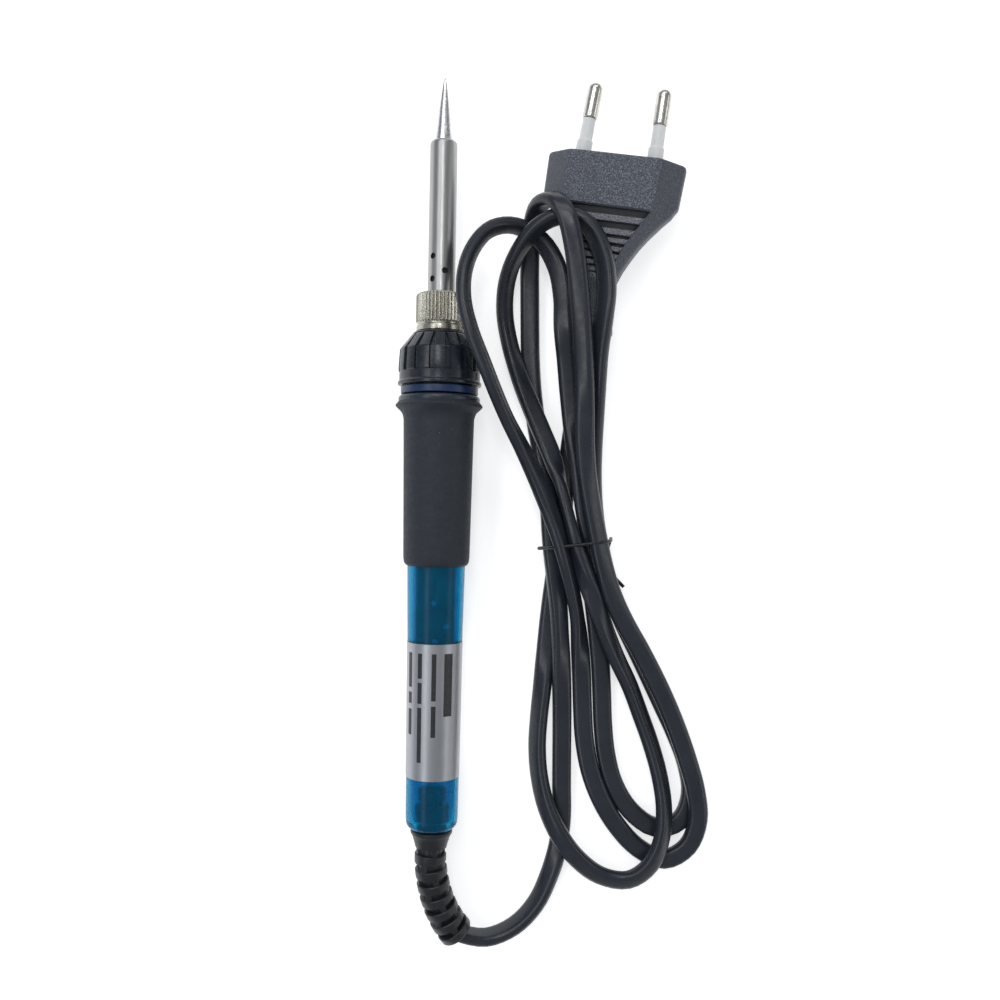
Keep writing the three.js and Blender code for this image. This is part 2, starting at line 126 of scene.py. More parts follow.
def catmull(points, per):
    P = np.array(points, float)
    P = np.vstack([2 * P[0] - P[1], P, 2 * P[-1] - P[-2]])
    out = []
    for i in range(1, len(P) - 2):
        p0, p1, p2, p3 = P[i - 1:i + 3]
        for t in np.linspace(0, 1, per, endpoint=False):
            out.append(0.5 * ((2 * p1) + (-p0 + p2) * t + (2 * p0 - 5 * p1 + 4 * p2 - p3) * t * t + (-p0 + 3 * p1 - 3 * p2 + p3) * t ** 3))
    out.append(P[-2])
    return np.array(out)

def transported(P):
    t = np.gradient(P, axis=0)
    t /= np.linalg.norm(t, axis=1)[:, None]
    u = np.zeros_like(t)
    a = np.cross([0, 0, 1.0], t[0])
    u[0] = a / np.linalg.norm(a)
    for i in range(1, len(P)):
        w = u[i - 1] - t[i] * (u[i - 1] @ t[i])
        u[i] = w / np.linalg.norm(w)
    return t, u, np.cross(t, u)

def place(ob, body, slot, *replaced):
    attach(ob, body)
    if replaced:
        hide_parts(*replaced)
    return ob

# ------------------------------------------------------------------ materials
class Mat:
    """Principled material built from object-space noise layers. Lengths in millimetres."""
    def __init__(self, name, color, rough=0.5, metal=0.0, spec=0.5, **sockets):
        m = bpy.data.materials.new(name)
        m.use_nodes = True
        self.m, self.t = m, m.node_tree
        self.N, self.L = self.t.nodes, self.t.links
        self.b = self.N["Principled BSDF"]
        self.color = tuple(color) + (1.0,)
        self.b.inputs["Base Color"].default_value = self.color
        self.b.inputs["Roughness"].default_value = rough
        self.b.inputs["Metallic"].default_value = metal
        self.b.inputs["Specular IOR Level"].default_value = spec
        for k, v in sockets.items():
            self.b.inputs[k.replace("_", " ")].default_value = v
        self.rough = rough
        self.co = self.N.new("ShaderNodeTexCoord")
        self.last_bump = None
        self.col_out = None
        self.rough_out = None

    def mapped(self, scale=(1, 1, 1)):
        mp = self.N.new("ShaderNodeMapping")
        mp.inputs["Scale"].default_value = tuple(1000.0 * s for s in scale)
        self.L.new(self.co.outputs["Object"], mp.inputs["Vector"])
        return mp.outputs["Vector"]

    def noise(self, per_mm, detail=3.0, rough=0.55, stretch=(1, 1, 1), dist=0.0):
        nz = self.N.new("ShaderNodeTexNoise")
        nz.inputs["Scale"].default_value = per_mm
        nz.inputs["Detail"].default_value = detail
        nz.inputs["Roughness"].default_value = rough
        nz.inputs["Distortion"].default_value = dist
        self.L.new(self.mapped(stretch), nz.inputs["Vector"])
        return nz.outputs["Fac"]

    def ramp(self, fac, stops):
        r = self.N.new("ShaderNodeValToRGB")
        el = r.color_ramp.elements
        while len(el) > 1:
            el.remove(el[-1])
        el[0].position, el[0].color = stops[0][0], stops[0][1]
        for p, c in stops[1:]:
            e = el.new(p)
            e.color = c
        self.L.new(fac, r.inputs["Fac"])
        return r.outputs["Color"]

    def grey(self, fac, stops):
        return self.ramp(fac, [(p, (v, v, v, 1)) for p, v in stops])

    def tint(self, fac, other, lo=0.35, hi=0.7, amount=1.0):
        """Base colour goes towards other where the noise is high."""
        mx = self.N.new("ShaderNodeMix")
        mx.data_type = "RGBA"
        f = self.grey(fac, [(lo, 0.0), (hi, amount)])
        self.L.new(f, mx.inputs["Factor"])
        if self.col_out is None:
            mx.inputs["A"].default_value = self.color
        else:
            self.L.new(self.col_out, mx.inputs["A"])
        mx.inputs["B"].default_value = tuple(other) + (1.0,)
        self.col_out = mx.outputs["Result"]
        self.L.new(self.col_out, self.b.inputs["Base Color"])
        return self

    def rough_noise(self, fac, lo, hi, a=0.3, b=0.7):
        out = self.grey(fac, [(a, lo), (b, hi)])
        self.L.new(out, self.b.inputs["Roughness"])
        self.rough_out = out
        return self

    def bump(self, fac, depth_mm, strength=1.0):
        bp = self.N.new("ShaderNodeBump")
        bp.inputs["Strength"].default_value = strength
        bp.inputs["Distance"].default_value = depth_mm * MM
        self.L.new(fac, bp.inputs["Height"])
        if self.last_bump is not None:
            self.L.new(self.last_bump, bp.inputs["Normal"])
        self.last_bump = bp.outputs["Normal"]
        self.L.new(self.last_bump, self.b.inputs["Normal"])
        return self

def use(ob, mat):
    ob.data.materials.clear()
    ob.data.materials.append(mat.m)

def cad(name, mat):
    use_ob = nodes[name]
    for s in use_ob.material_slots:
        s.material = mat.m
    if not use_ob.material_slots:
        use_ob.data.materials.append(mat.m)

# stainless pipe: drawn along its length, faint heat tint and scratches
steel = Mat("steel_pipe", (0.43, 0.43, 0.425), 0.34, 1.0)
steel.tint(steel.noise(0.9, 3, 0.5, (1, 0.04, 1)), (0.36, 0.36, 0.35), 0.35, 0.75, 0.7)
steel.rough_noise(steel.noise(3.0, 4, 0.6, (1, 0.04, 1)), 0.30, 0.42)
steel.bump(steel.noise(5.0, 3, 0.6, (1, 0.03, 1)), 0.004, 0.5)

tip_plate = Mat("tip_plate", (0.80, 0.805, 0.82), 0.16, 1.0)
tip_plate.tint(tip_plate.noise(1.6, 4, 0.6), (0.5, 0.5, 0.52), 0.4, 0.75, 0.6)
tip_plate.rough_noise(tip_plate.noise(2.5, 4, 0.6), 0.14, 0.34)
tip_plate.bump(tip_plate.noise(1.2, 2, 0.5, (1, 0.3, 1)), 0.010, 0.5)
tip_tin = Mat("tip_tinned", (0.80, 0.79, 0.76), 0.16, 1.0)
tip_tin.rough_noise(tip_tin.noise(2.0, 3, 0.6), 0.10, 0.3)
tip_tin.bump(tip_tin.noise(1.6, 3, 0.5), 0.03, 0.6)

tip_shank = Mat("tip_shank_oxide", (0.020, 0.018, 0.018), 0.75, 0.2)
tip_shank.tint(tip_shank.noise(1.0, 3, 0.6), (0.045, 0.032, 0.026), 0.4, 0.75)
tip_shank.bump(tip_shank.noise(3.0, 3, 0.6), 0.02, 0.5)

nickel = Mat("nickel_knurl", (0.46, 0.445, 0.385), 0.27, 1.0)
nickel.tint(nickel.noise(1.0, 3, 0.5), (0.37, 0.35, 0.30), 0.45, 0.8, 0.7)
nickel.rough_noise(nickel.noise(2.4, 4, 0.6), 0.18, 0.4)
nickel.bump(nickel.noise(5.0, 3, 0.6), 0.008, 0.5)

brass = Mat("nipple_brass", (0.62, 0.49, 0.26), 0.32, 1.0)
brass.rough_noise(brass.noise(2.0, 4, 0.6), 0.25, 0.45)
brass.bump(brass.noise(0.9, 2, 0.4, (0.02, 1, 0.02)), 0.03, 0.6)

ceramic = Mat("ceramic", (0.82, 0.79, 0.72), 0.6)
ceramic.tint(ceramic.noise(0.8, 4, 0.6), (0.66, 0.60, 0.50), 0.45, 0.8, 0.6)
ceramic.bump(ceramic.noise(5.0, 4, 0.6), 0.02, 0.5)

black_gloss = Mat("collar_plastic", (0.010, 0.0145, 0.022), 0.3, 0.0, 0.5)
black_gloss.tint(black_gloss.noise(0.5, 4, 0.6), (0.019, 0.024, 0.034), 0.35, 0.75)
black_gloss.rough_noise(black_gloss.noise(0.9, 3, 0.5), 0.20, 0.34)

rubber = Mat("grip_rubber", (0.020, 0.027, 0.038), 0.66, 0.0, 0.42)
rubber.tint(rubber.noise(0.35, 4, 0.6), (0.027, 0.033, 0.041), 0.35, 0.75)
rubber.tint(rubber.noise(2.6, 2, 0.4), (0.30, 0.31, 0.30), 0.735, 0.80, 0.5)
rubber.rough_noise(rubber.noise(1.2, 4, 0.6), 0.55, 0.72)
rubber.bump(rubber.noise(6.0, 3, 0.6), 0.018, 0.5)

grip_rim = Mat("grip_rim", (0.022, 0.030, 0.046), 0.30, 0.0, 0.5)
grip_rim.tint(grip_rim.noise(0.6, 3, 0.6), (0.030, 0.040, 0.060), 0.35, 0.75)
grip_rim.rough_noise(grip_rim.noise(1.4, 3, 0.5), 0.26, 0.36)

clear_blue = Mat("clear_blue", (0.002, 0.36, 0.62), 0.26, 0.0, 0.2, Transmission_Weight=0.86, IOR=1.25)
clear_blue.tint(clear_blue.noise(0.25, 3, 0.5), (0.002, 0.31, 0.56), 0.35, 0.7)

navy = Mat("neck_navy", (0.008, 0.030, 0.090), 0.34, 0.0, 0.5)
navy.tint(navy.noise(0.6, 3, 0.6), (0.008, 0.034, 0.10), 0.35, 0.7)
navy.rough_noise(navy.noise(1.4, 4, 0.6), 0.26, 0.44)
navy.bump(navy.noise(3.0, 3, 0.6), 0.01, 0.5)

foil = Mat("label_foil", (0.42, 0.43, 0.447), 0.42, 0.9)
foil.tint(foil.noise(0.2, 3, 0.5), (0.435, 0.45, 0.475), 0.35, 0.7)
foil.rough_noise(foil.noise(1.8, 3, 0.6), 0.36, 0.46)
foil.bump(foil.noise(1.2, 3, 0.55), 0.006, 0.4)
print_ink = Mat("label_print", (0.018, 0.019, 0.022), 0.45)
print_ink.tint(print_ink.noise(3.0, 3, 0.6), (0.05, 0.052, 0.056), 0.45, 0.75)
print_ink.bump(print_ink.noise(6.0, 2, 0.5), 0.004, 0.4)

board = Mat("board_mask", (0.015, 0.19, 0.085), 0.4)
board.tint(board.noise(0.9, 2, 0.4, (1, 0.25, 1)), (0.03, 0.28, 0.12), 0.48, 0.54)
board.bump(board.noise(0.9, 2, 0.4, (1, 0.25, 1)), 0.03, 0.6)
solder = Mat("solder", (0.72, 0.74, 0.76), 0.22, 1.0)
solder.rough_noise(solder.noise(3.0, 3, 0.6), 0.15, 0.35)
solder.bump(solder.noise(2.0, 3, 0.6), 0.02, 0.5)
# tinned wire coloured near-white, lighter than the metal would be: a painted glint
wire_painted_glint = Mat("wire_tinned_painted_glint", (0.92, 0.93, 0.94), 0.35, 0.3)
wire_painted_glint.rough_noise(wire_painted_glint.noise(2.0, 3, 0.6), 0.28, 0.42)
film = Mat("capacitor_epoxy", (0.42, 0.12, 0.05), 0.35)
film.tint(film.noise(1.0, 4, 0.6), (0.30, 0.08, 0.035), 0.4, 0.75)
film.bump(film.noise(1.6, 3, 0.6), 0.04, 0.6)
moulded = Mat("semiconductor", (0.02, 0.02, 0.021), 0.5)
moulded.rough_noise(moulded.noise(3.0, 4, 0.6), 0.4, 0.62)
moulded.bump(moulded.noise(6.0, 3, 0.6), 0.02, 0.6)
res_body = Mat("resistor_lacquer", (0.52, 0.40, 0.24), 0.4)
res_body.tint(res_body.noise(1.2, 1, 0.3, (1, 0.0, 0.0)), (0.25, 0.07, 0.03), 0.52, 0.56)
res_body.bump(res_body.noise(3.0, 3, 0.6), 0.01, 0.5)
braid = Mat("lead_braid", (0.74, 0.72, 0.66), 0.8)
braid.bump(braid.noise(4.0, 2, 0.5, (1, 0.5, 1)), 0.05, 0.8)
core_brown = Mat("core_brown", (0.12, 0.045, 0.018), 0.4)
core_brown.bump(core_brown.noise(2.0, 3, 0.6), 0.01, 0.5)
core_blue = Mat("core_blue", (0.02, 0.10, 0.42), 0.4)
core_blue.bump(core_blue.noise(2.0, 3, 0.6), 0.01, 0.5)
nylon = Mat("clamp_nylon", (0.03, 0.032, 0.035), 0.5)
nylon.bump(nylon.noise(2.5, 3, 0.6), 0.02, 0.5)

boot_rubber = Mat("boot_rubber", (0.009, 0.0105, 0.0145), 0.42, 0.0, 0.5)
boot_rubber.tint(boot_rubber.noise(0.6, 4, 0.6), (0.018, 0.019, 0.021), 0.35, 0.75)
boot_rubber.rough_noise(boot_rubber.noise(1.5, 3, 0.5), 0.32, 0.48)
boot_rubber.bump(boot_rubber.noise(4.5, 3, 0.6), 0.02, 0.5)

pvc = Mat("cord_pvc", (0.018, 0.022, 0.031), 0.30, 0.0, 0.5)
pvc.tint(pvc.noise(0.12, 4, 0.6), (0.025, 0.030, 0.040), 0.35, 0.7)
pvc.rough_noise(pvc.noise(0.5, 3, 0.5), 0.24, 0.36)

tie_mat = Mat("tie_plastic", (0.008, 0.008, 0.009), 0.4)
tie_mat.rough_noise(tie_mat.noise(2.5, 3, 0.6), 0.32, 0.5)
tie_mat.bump(tie_mat.noise(3.5, 3, 0.6), 0.02, 0.6)

plug_smooth = Mat("plug_smooth", (0.054, 0.061, 0.077), 0.46, 0.0, 0.5)
plug_smooth.tint(plug_smooth.noise(3.0, 2, 0.5), (0.120, 0.134, 0.160), 0.46, 0.70)
plug_smooth.rough_noise(plug_smooth.noise(1.6, 4, 0.6), 0.38, 0.56)
plug_smooth.bump(plug_smooth.noise(3.0, 2, 0.5), 0.14, 0.9)
plug_grain = Mat("plug_grain", (0.042, 0.050, 0.069), 0.42, 0.0, 0.6)
plug_grain.tint(plug_grain.noise(3.0, 2, 0.5), (0.215, 0.240, 0.295), 0.46, 0.68)
plug_grain.rough_noise(plug_grain.noise(2.2, 3, 0.6), 0.32, 0.56)
plug_grain.bump(plug_grain.noise(3.0, 2, 0.5), 0.22, 1.0)
# recessed lands between the plug's crests: the same plastic, darkened as painted shade
plug_groove_painted_shade = Mat("plug_groove_painted_shade", (0.012, 0.013, 0.017), 0.5, 0.0, 0.4)
plug_groove_painted_shade.rough_noise(plug_groove_painted_shade.noise(1.6, 3, 0.6), 0.42, 0.6)
plug_groove_painted_shade.bump(plug_groove_painted_shade.noise(2.4, 3, 0.6), 0.03, 0.5)
plug_ridge = Mat("plug_ridge", (0.040, 0.047, 0.062), 0.27, 0.0, 0.6)
plug_ridge.tint(plug_ridge.noise(3.0, 2, 0.5), (0.19, 0.21, 0.25), 0.47, 0.68)
plug_ridge.rough_noise(plug_ridge.noise(2.6, 2, 0.5), 0.22, 0.4)
plug_ridge.bump(plug_ridge.noise(2.2, 4, 0.6), 0.05, 0.6)
pin_metal = Mat("pin_nickel", (0.70, 0.68, 0.63), 0.2, 1.0)
pin_metal.tint(pin_metal.noise(1.2, 4, 0.6, (1, 0.3, 1)), (0.40, 0.385, 0.35), 0.45, 0.8, 0.7)
pin_metal.rough_noise(pin_metal.noise(2.2, 4, 0.6, (1, 0.3, 1)), 0.14, 0.34)
pin_metal.bump(pin_metal.noise(1.6, 3, 0.6, (1, 0.35, 1)), 0.015, 0.5)
pin_white = Mat("pin_sleeve", (0.84, 0.85, 0.835), 0.42)
pin_white.tint(pin_white.noise(0.8, 3, 0.6), (0.77, 0.785, 0.775), 0.4, 0.75)
pin_white.bump(pin_white.noise(3.0, 3, 0.6), 0.01, 0.4)

# ------------------------------------------------------------------ tip
def two_part(ob, mats, pick):
    """Gives each face one of the materials: pick(centre in mm) -> index."""
    ob.data.materials.clear()
    for m in mats:
        ob.data.materials.append(m.m)
    for p in ob.data.polygons:
        p.material_index = pick([c / MM for c in p.center])

tip = turned("tip_cone", rounded([
    (94.75, 0.02, 0), (94.7, 0.16, 0), (94.4, 0.3, 0.2), (93.2, 0.58, 0.5), (91.7, 0.86, 0.5), (90.2, 1.08, 0.3), (89.0, 1.24, 0.05),
    (88.95, 1.29, 0.02), (85.6, 1.66, 0.8), (82.6, 2.0, 0.8), (79.6, 2.40, 0.3), (77.6, 2.42, 0.05), (77.6, 2.85, 0.05),
    (42.0, 2.85, 0.1), (42.0, 2.15, 0.05), (68.0, 2.15, 0.05), (68.6, 0.02, 0)]), 72, loop=False)
two_part(tip, [tip_plate, tip_tin, tip_shank], lambda c: 1 if c[1] > 88.97 else (2 if c[1] < 77.0 else 0))
place(tip, "tip", "tip", "tip")

# ------------------------------------------------------------------ shroud pipe with vent holes
pipe = turned("shroud_pipe", rounded([
    (78.6, 2.72, 0.05), (78.6, 2.95, 0.25), (78.2, 3.35, 0.3), (77.6, 3.45, 0.35), (37.7, 3.45, 0.2), (37.7, 4.65, 0.1), (36.9, 4.65, 0.1),
    (36.9, 3.05, 0.05), (78.0, 3.05, 0.05), (78.0, 2.72, 0.05)]), 96)
drills = []
for y, deg in ((49.1, -37.5), (45.4, 17.0), (43.4, -39.0)):
    for extra in (0, 180):
        a = math.radians(deg + extra)
        out = np.array((math.sin(a), 0, math.cos(a)))
        side = np.array((math.cos(a), 0, -math.sin(a)))
        rings = [[tuple(np.array((0, y, AXIS_Z)) + out * d + 0.78 * (math.cos(t) * side + math.sin(t) * np.array((0, 1, 0)))) for t in np.arange(28) * 2 * math.pi / 28] for d in (2.3, 4.4)]
        drills.append(new_object("drill", *loft(rings)))
for d in drills:
    md = pipe.modifiers.new("hole", "BOOLEAN")
    md.operation, md.solver, md.object = "DIFFERENCE", "EXACT", d
dg = bpy.context.evaluated_depsgraph_get()
cut = bpy.data.meshes.new_from_object(pipe.evaluated_get(dg))
pipe.modifiers.clear()
pipe.data = cut
cut.set_sharp_from_angle(angle=math.radians(32))
for d in drills:
    bpy.data.objects.remove(d, do_unlink=True)
use(pipe, steel)
place(pipe, "shroud", "shroud", "tip_shroud")

# ------------------------------------------------------------------ knurled nut
def knurl(y, r, a):
    if r < 5.2:
        return r
    f = min(max((y - 32.35) / 0.5, 0), 1)
    cutter = (0.5 - 0.5 * math.cos(40 * a)) ** 1.6
    return r - 0.36 * cutter * f * min(1.0, max(0.0, (r - 5.55) / 0.4))
nut = turned("knurled_nut", rounded([
    (40.0, 5.35, 0.1), (39.82, 5.9, 0.25), (39.35, 6.3, 0.3), (32.75, 6.3, 0.2), (32.35, 5.75, 0.15), (31.95, 5.72, 0.1), (31.75, 6.12, 0.15),
    (30.4, 6.15, 0.12), (30.4, 5.05, 0.05), (38.0, 5.05, 0.05), (38.0, 3.75, 0.05), (40.0, 3.75, 0.1)]), 480, radial=knurl, sharp=50)
use(nut, nickel)
place(nut, "nut", "nut", "shroud_nut")

# ------------------------------------------------------------------ ribbed collar
def ribs(y, r, a):
    if r < 6.5 or y < 20.06:
        return r
    u = ((a - math.radians(3.6)) / (2 * math.pi) * 16 + 0.5) % 1.0
    d = abs(u - 0.5) * 2           # 1 in the middle of a groove, 0 on the middle of a rib
    edge = 0.655 + 0.16 * min(max((y - 26.2) / 3.0, 0), 1)
    g = min(max((d - edge) / 0.08, 0), 1)
    g = g * g * (3 - 2 * g)
    fade = min(max((29.55 - y) / 0.45, 0), 1)
    return r - 0.66 * g * fade
collar_prof = rounded([(30.1, 5.1, 0.1), (30.1, 6.75, 0.25), (29.62, 7.1, 0.3)]) + [(29.4, 7.28), (29.1, 7.52), (28.0, 8.37), (26.6, 9.45)] + \
    rounded([(26.4, 9.6, 0.01), (25.7, 10.15, 0.35), (24.9, 10.2, 0.05)]) + [(23.0, 10.32), (21.0, 10.42)] + \
    rounded([(20.3, 10.45, 0.1), (20.1, 10.3, 0.05), (20.0, 10.2, 0.05), (17.95, 10.2, 0.1), (17.75, 10.34, 0.06), (17.55, 10.57, 0.14),
    (16.85, 10.55, 0.14), (16.72, 10.3, 0.05), (16.7, 8.5, 0.05), (22.4, 8.5, 0.05), (22.4, 5.1, 0.05)])
collar = turned("ribbed_collar", collar_prof, 768, radial=ribs, sharp=40)
use(collar, black_gloss)
place(collar, "collar", "collar", "front_collar")

# ------------------------------------------------------------------ clear shell, neck ring, grip, label
shell = turned("clear_shell", rounded([
    (14.45, 7.5, 0.1), (-28.2, 7.5, 0.3), (-28.7, 7.3, 0.3), (-47.0, 6.95, 2), (-92.0, 6.6, 1.2), (-93.6, 6.45, 0.8), (-94.55, 5.7, 0.7), (-94.75, 4.9, 0.3),
    (-94.75, 3.85, 0.2), (-92.9, 3.85, 0.2), (-92.6, 5.2, 0.5), (-89.0, 5.65, 1.0), (-30.0, 5.9, 1.0), (14.45, 5.9, 0.1)], 6), 96)
use(shell, clear_blue)
place(shell, "handle", "shell", "body_shell")
neck = turned("shell_neck", rounded([
    (19.9, 7.9, 0.1), (19.5, 8.2, 0.2), (16.4, 8.2, 0.1), (16.4, 9.6, 0.15), (16.25, 9.75, 0.15), (14.65, 9.75, 0.15), (14.5, 9.6, 0.1),
    (14.5, 5.95, 0.05), (19.9, 5.95, 0.1)]), 96)
use(neck, navy)
place(neck, "handle", "shell")

grip = turned("rubber_grip", rounded([
    (14.2, 9.4, 0.1), (14.15, 9.8, 0.15), (13.9, 10.15, 0.2), (13.4, 10.32, 0.25), (12.95, 10.27, 0.15), (12.75, 10.18, 0.08), (12.6, 10.35, 0.1), (12.0, 10.85, 0.2),
    (11.75, 11.0, 0.15), (11.5, 11.0, 0.15), (11.2, 10.75, 0.2), (10.8, 10.3, 0.3), (10.3, 9.75, 0.3), (9.8, 9.35, 0.4), (9.0, 9.05, 0.6), (8.2, 8.92, 0.8), (0.0, 8.78, 2),
    (-26.8, 8.37, 0.8), (-28.0, 8.12, 0.6), (-28.5, 7.6, 0.3), (-28.4, 7.55, 0.05), (14.1, 7.55, 0.1)], 6), 96, sharp=60)
two_part(grip, [rubber, grip_rim], lambda c: 1 if c[1] > 12.72 and math.hypot(c[0], c[2] - AXIS_Z) > 8.2 else 0)
place(grip, "handle", "grip", "grip_sleeve")

def shell_r(y):
    return 6.95 + (-47.0 - y) / 45.0 * (6.6 - 6.95)
label = turned("foil_label", [(y, shell_r(y) + 0.09) for y in np.linspace(-47.7, -81.5, 18)] + [(y, shell_r(y) + 0.01) for y in np.linspace(-81.5, -47.7, 18)], 96)
use(label, foil)
place(label, "handle", "label", "rating_label")

def patch(name, y0, y1, a0, a1, lift=0.10, thick=0.02, corner=0.0):
    """Thin printed bar on the label: from y0 to y1 along the handle, a0 to a1 degrees from straight up."""
    ny, na = 10, 10
    verts, faces = [], []
    for side in (0, 1):
        for i in range(ny + 1):
            for k in range(na + 1):
                y = y0 + (y1 - y0) * i / ny
                a = math.radians(a0 + (a1 - a0) * k / na)
                r = shell_r(y) + lift + (thick if side else 0)
                verts.append((r * math.sin(a), y, AXIS_Z + r * math.cos(a)))
    def vid(s, i, k): return s * (ny + 1) * (na + 1) + i * (na + 1) + k
    for i in range(ny):
        for k in range(na):
            faces.append((vid(1, i, k), vid(1, i + 1, k), vid(1, i + 1, k + 1), vid(1, i, k + 1)))
            faces.append((vid(0, i, k), vid(0, i, k + 1), vid(0, i + 1, k + 1), vid(0, i + 1, k)))
    rim = [(0, k) for k in range(na)] + [(i, na) for i in range(ny)] + [(ny, k) for k in range(na, 0, -1)] + [(i, 0) for i in range(ny, 0, -1)]
    for j in range(len(rim)):
        a_, b_ = rim[j], rim[(j + 1) % len(rim)]
        faces.append((vid(0, *a_), vid(0, *b_), vid(1, *b_), vid(1, *a_)))
    return verts, faces
bars = []
bars.append(patch("b", -50.0, -65.5, 24, 43))            # one broad bar in place of the mark
for y0, y1 in ((-50.0, -61.6), (-62.9, -70.6)):
    bars.append(patch("b", y0, y1, -2, 7.5))
for y0, y1 in ((-50.0, -56.2), (-57.2, -62.4), (-63.4, -77.0)):
    bars.append(patch("b", y0, y1, -32, -22.5))
for y0, y1 in ((-50.0, -58.6), (-59.8, -62.6), (-64.0, -70.4)):
    bars.append(patch("b", y0, y1, -60, -49))
verts, faces = [], []
for v, f in bars:
    o = len(verts)
    verts += v
    faces += [tuple(i + o for i in q) for q in f]
printed = new_object("label_bars", verts, faces)
use(printed, print_ink)
place(printed, "handle", "label")

# ------------------------------------------------------------------ inner parts keep their CAD shapes
cad("heater_nipple", brass); cad("heater_base", ceramic); cad("heater_rod", ceramic)
cad("circuit_board", board); cad("film_capacitor", film); cad("triac", moulded)
cad("resistor", res_body); cad("rectifier_diode", moulded)
cad("heater_lead_left", braid); cad("heater_lead_right", braid)
cad("mains_core_brown", core_brown); cad("mains_core_blue", core_blue); cad("cord_clamp", nylon)
# the board runs on forward under the grip
bb = [nodes["circuit_board"].matrix_world @ Vector(c) for c in nodes["circuit_board"].bound_box]
lo = [min(v[k] for v in bb) / MM for k in range(3)]
hi = [max(v[k] for v in bb) / MM for k in range(3)]
bx = [[(x, y, z) for x, z in ((lo[0], lo[2]), (hi[0], lo[2]), (hi[0], hi[2]), (lo[0], hi[2]))] for y in (hi[1] - 0.01, hi[1] + 4.0, min(-26.6, hi[1] + 9.0))]
board_front = new_object("board_front", *loft(bx))
use(board_front, board)
place(board_front, "handle", "board")
dots = []
for x, y in ((0.2, -37.8), (3.0, -43.6), (0.6, -47.3), (-3.2, -47.0), (3.4, -57.4), (-3.4, -57.4), (3.2, -63.0), (-3.2, -63.0), (2.6, -71.2), (-2.6, -71.2)):
    rings = []
    for j in range(7):
        f = j / 6 * math.pi / 2
        rings.append([(x + 0.62 * math.cos(f) * math.cos(t) + 1e-4, y + 0.62 * math.cos(f) * math.sin(t), 12.45 + 0.55 * math.sin(f)) for t in np.arange(14) * 2 * math.pi / 14])
    dots.append(loft(rings))
verts, faces = [], []
for v, f in dots:
    o = len(verts)
    verts += v
    faces += [tuple(i + o for i in q) for q in f]
joints_ = new_object("solder_joints", verts, faces)
use(joints_, solder)
place(joints_, "handle", "board")

# bent wire ends that stand up close to the clear wall; their near-white colour is a painted glint
verts, faces = [], []
for x, y, z in ((-0.08, -37.6, 16.15), (2.76, -43.5, 15.45), (0.35, -47.2, 16.1)):
    prof = [(12.3, 0.02), (12.3, 0.22), (z - 0.55, 0.22)] + [(z - 0.55 * math.cos(t), max(0.22 if t < 0.4 else 0.02, 0.68 * math.sin(t))) for t in np.linspace(0.1, math.pi, 12)]
    v, f = loft([[(x + r * math.cos(a), y + r * math.sin(a), h) for a in np.arange(16) * 2 * math.pi / 16] for h, r in prof])
    o = len(verts)
    verts += v
    faces += [tuple(i + o for i in q) for q in f]
wire_ends = new_object("wire_ends", verts, faces)
use(wire_ends, wire_painted_glint)
place(wire_ends, "handle", "board")

# ------------------------------------------------------------------ boot
BOOT = catmull([[0, -89.0, 11], [0, -92.0, 11], [0, -95.05, 11], [-0.05, -99.1, 10.95], [-0.15, -103.1, 10.8], [0.3, -107.3, 10.3], [1.1, -111.3, 9.6], [2.2, -114.9, 8.8],
    [3.6, -118.2, 7.9], [5.0, -120.8, 7.1], [6.6, -123.1, 6.3]], 24)
bt, bu, bv = transported(BOOT)
bl = np.r_[0, np.cumsum(np.linalg.norm(np.diff(BOOT, axis=0), axis=1))]
BL = bl[-1]
def at(arr, s):
    return np.array([np.interp(s, bl, arr[:, k]) for k in range(3)])
def boot_ring(s, rfun, n=72):
    c, u, v = at(BOOT, s), at(bu, s), at(bv, s)
    u /= np.linalg.norm(u); v /= np.linalg.norm(v)
    out = []
    for k in range(n):
        a = k * 2 * math.pi / n
        r = rfun(a)
        out.append(tuple(c + r * (math.cos(a) * u + math.sin(a) * v)))
    return out
RIBS, S0 = 7, 10.6
pitch = (BL - 0.02 - S0) / RIBS
stations = [(0.0, 4.1), (0.15, 4.3), (3.45, 4.3), (3.6, 4.1), (3.62, 3.5), (6.1, 3.5), (6.12, 5.15), (6.3, 5.3), (6.9, 5.28), (7.25, 5.05), (7.6, 4.85), (8.6, 4.5), (9.8, 4.15), (10.5, 4.0)]
rings = [boot_ring(s, lambda a, r=r: r) for s, r in stations]
for k in range(RIBS):
    s = S0 + k * pitch
    r1 = 3.95 + 0.45 * (k + 1) / RIBS
    turn = (k % 2) * math.pi / 4 + 0.35
    def groove(a, r1=r1, turn=turn):
        u = ((a + turn) / (math.pi / 2)) % 1.0
        d = abs(u - 0.5) * 2       # 1 at a bridge
        g = min(max((d - 0.60) / 0.12, 0), 1)
        return 2.95 + (r1 - 0.35 - 2.95) * g
    g0, g1 = s + 0.02, s + 0.42 * pitch
    rings += [boot_ring(g0, lambda a, r=r1: r - 0.12)] if k else []
    rings += [boot_ring(g0 + 0.10, groove), boot_ring(0.5 * (g0 + g1), groove), boot_ring(g1, groove)]
    rings += [boot_ring(g1 + 0.08, lambda a, r=r1: r - 0.15), boot_ring(g1 + 0.25, lambda a, r=r1: r), boot_ring(s + pitch - 0.2, lambda a, r=r1: r)]
rings += [boot_ring(BL, lambda a: 4.25), boot_ring(BL, lambda a: 2.8)]
for s in np.linspace(BL - 0.3, 0.0, 12):
    rings.append(boot_ring(s, lambda a: 2.8))
boot = new_object("strain_relief", *loft(rings, loop=True), sharp=38)
use(boot, boot_rubber)
place(boot, "handle", "boot", "cord_boot")

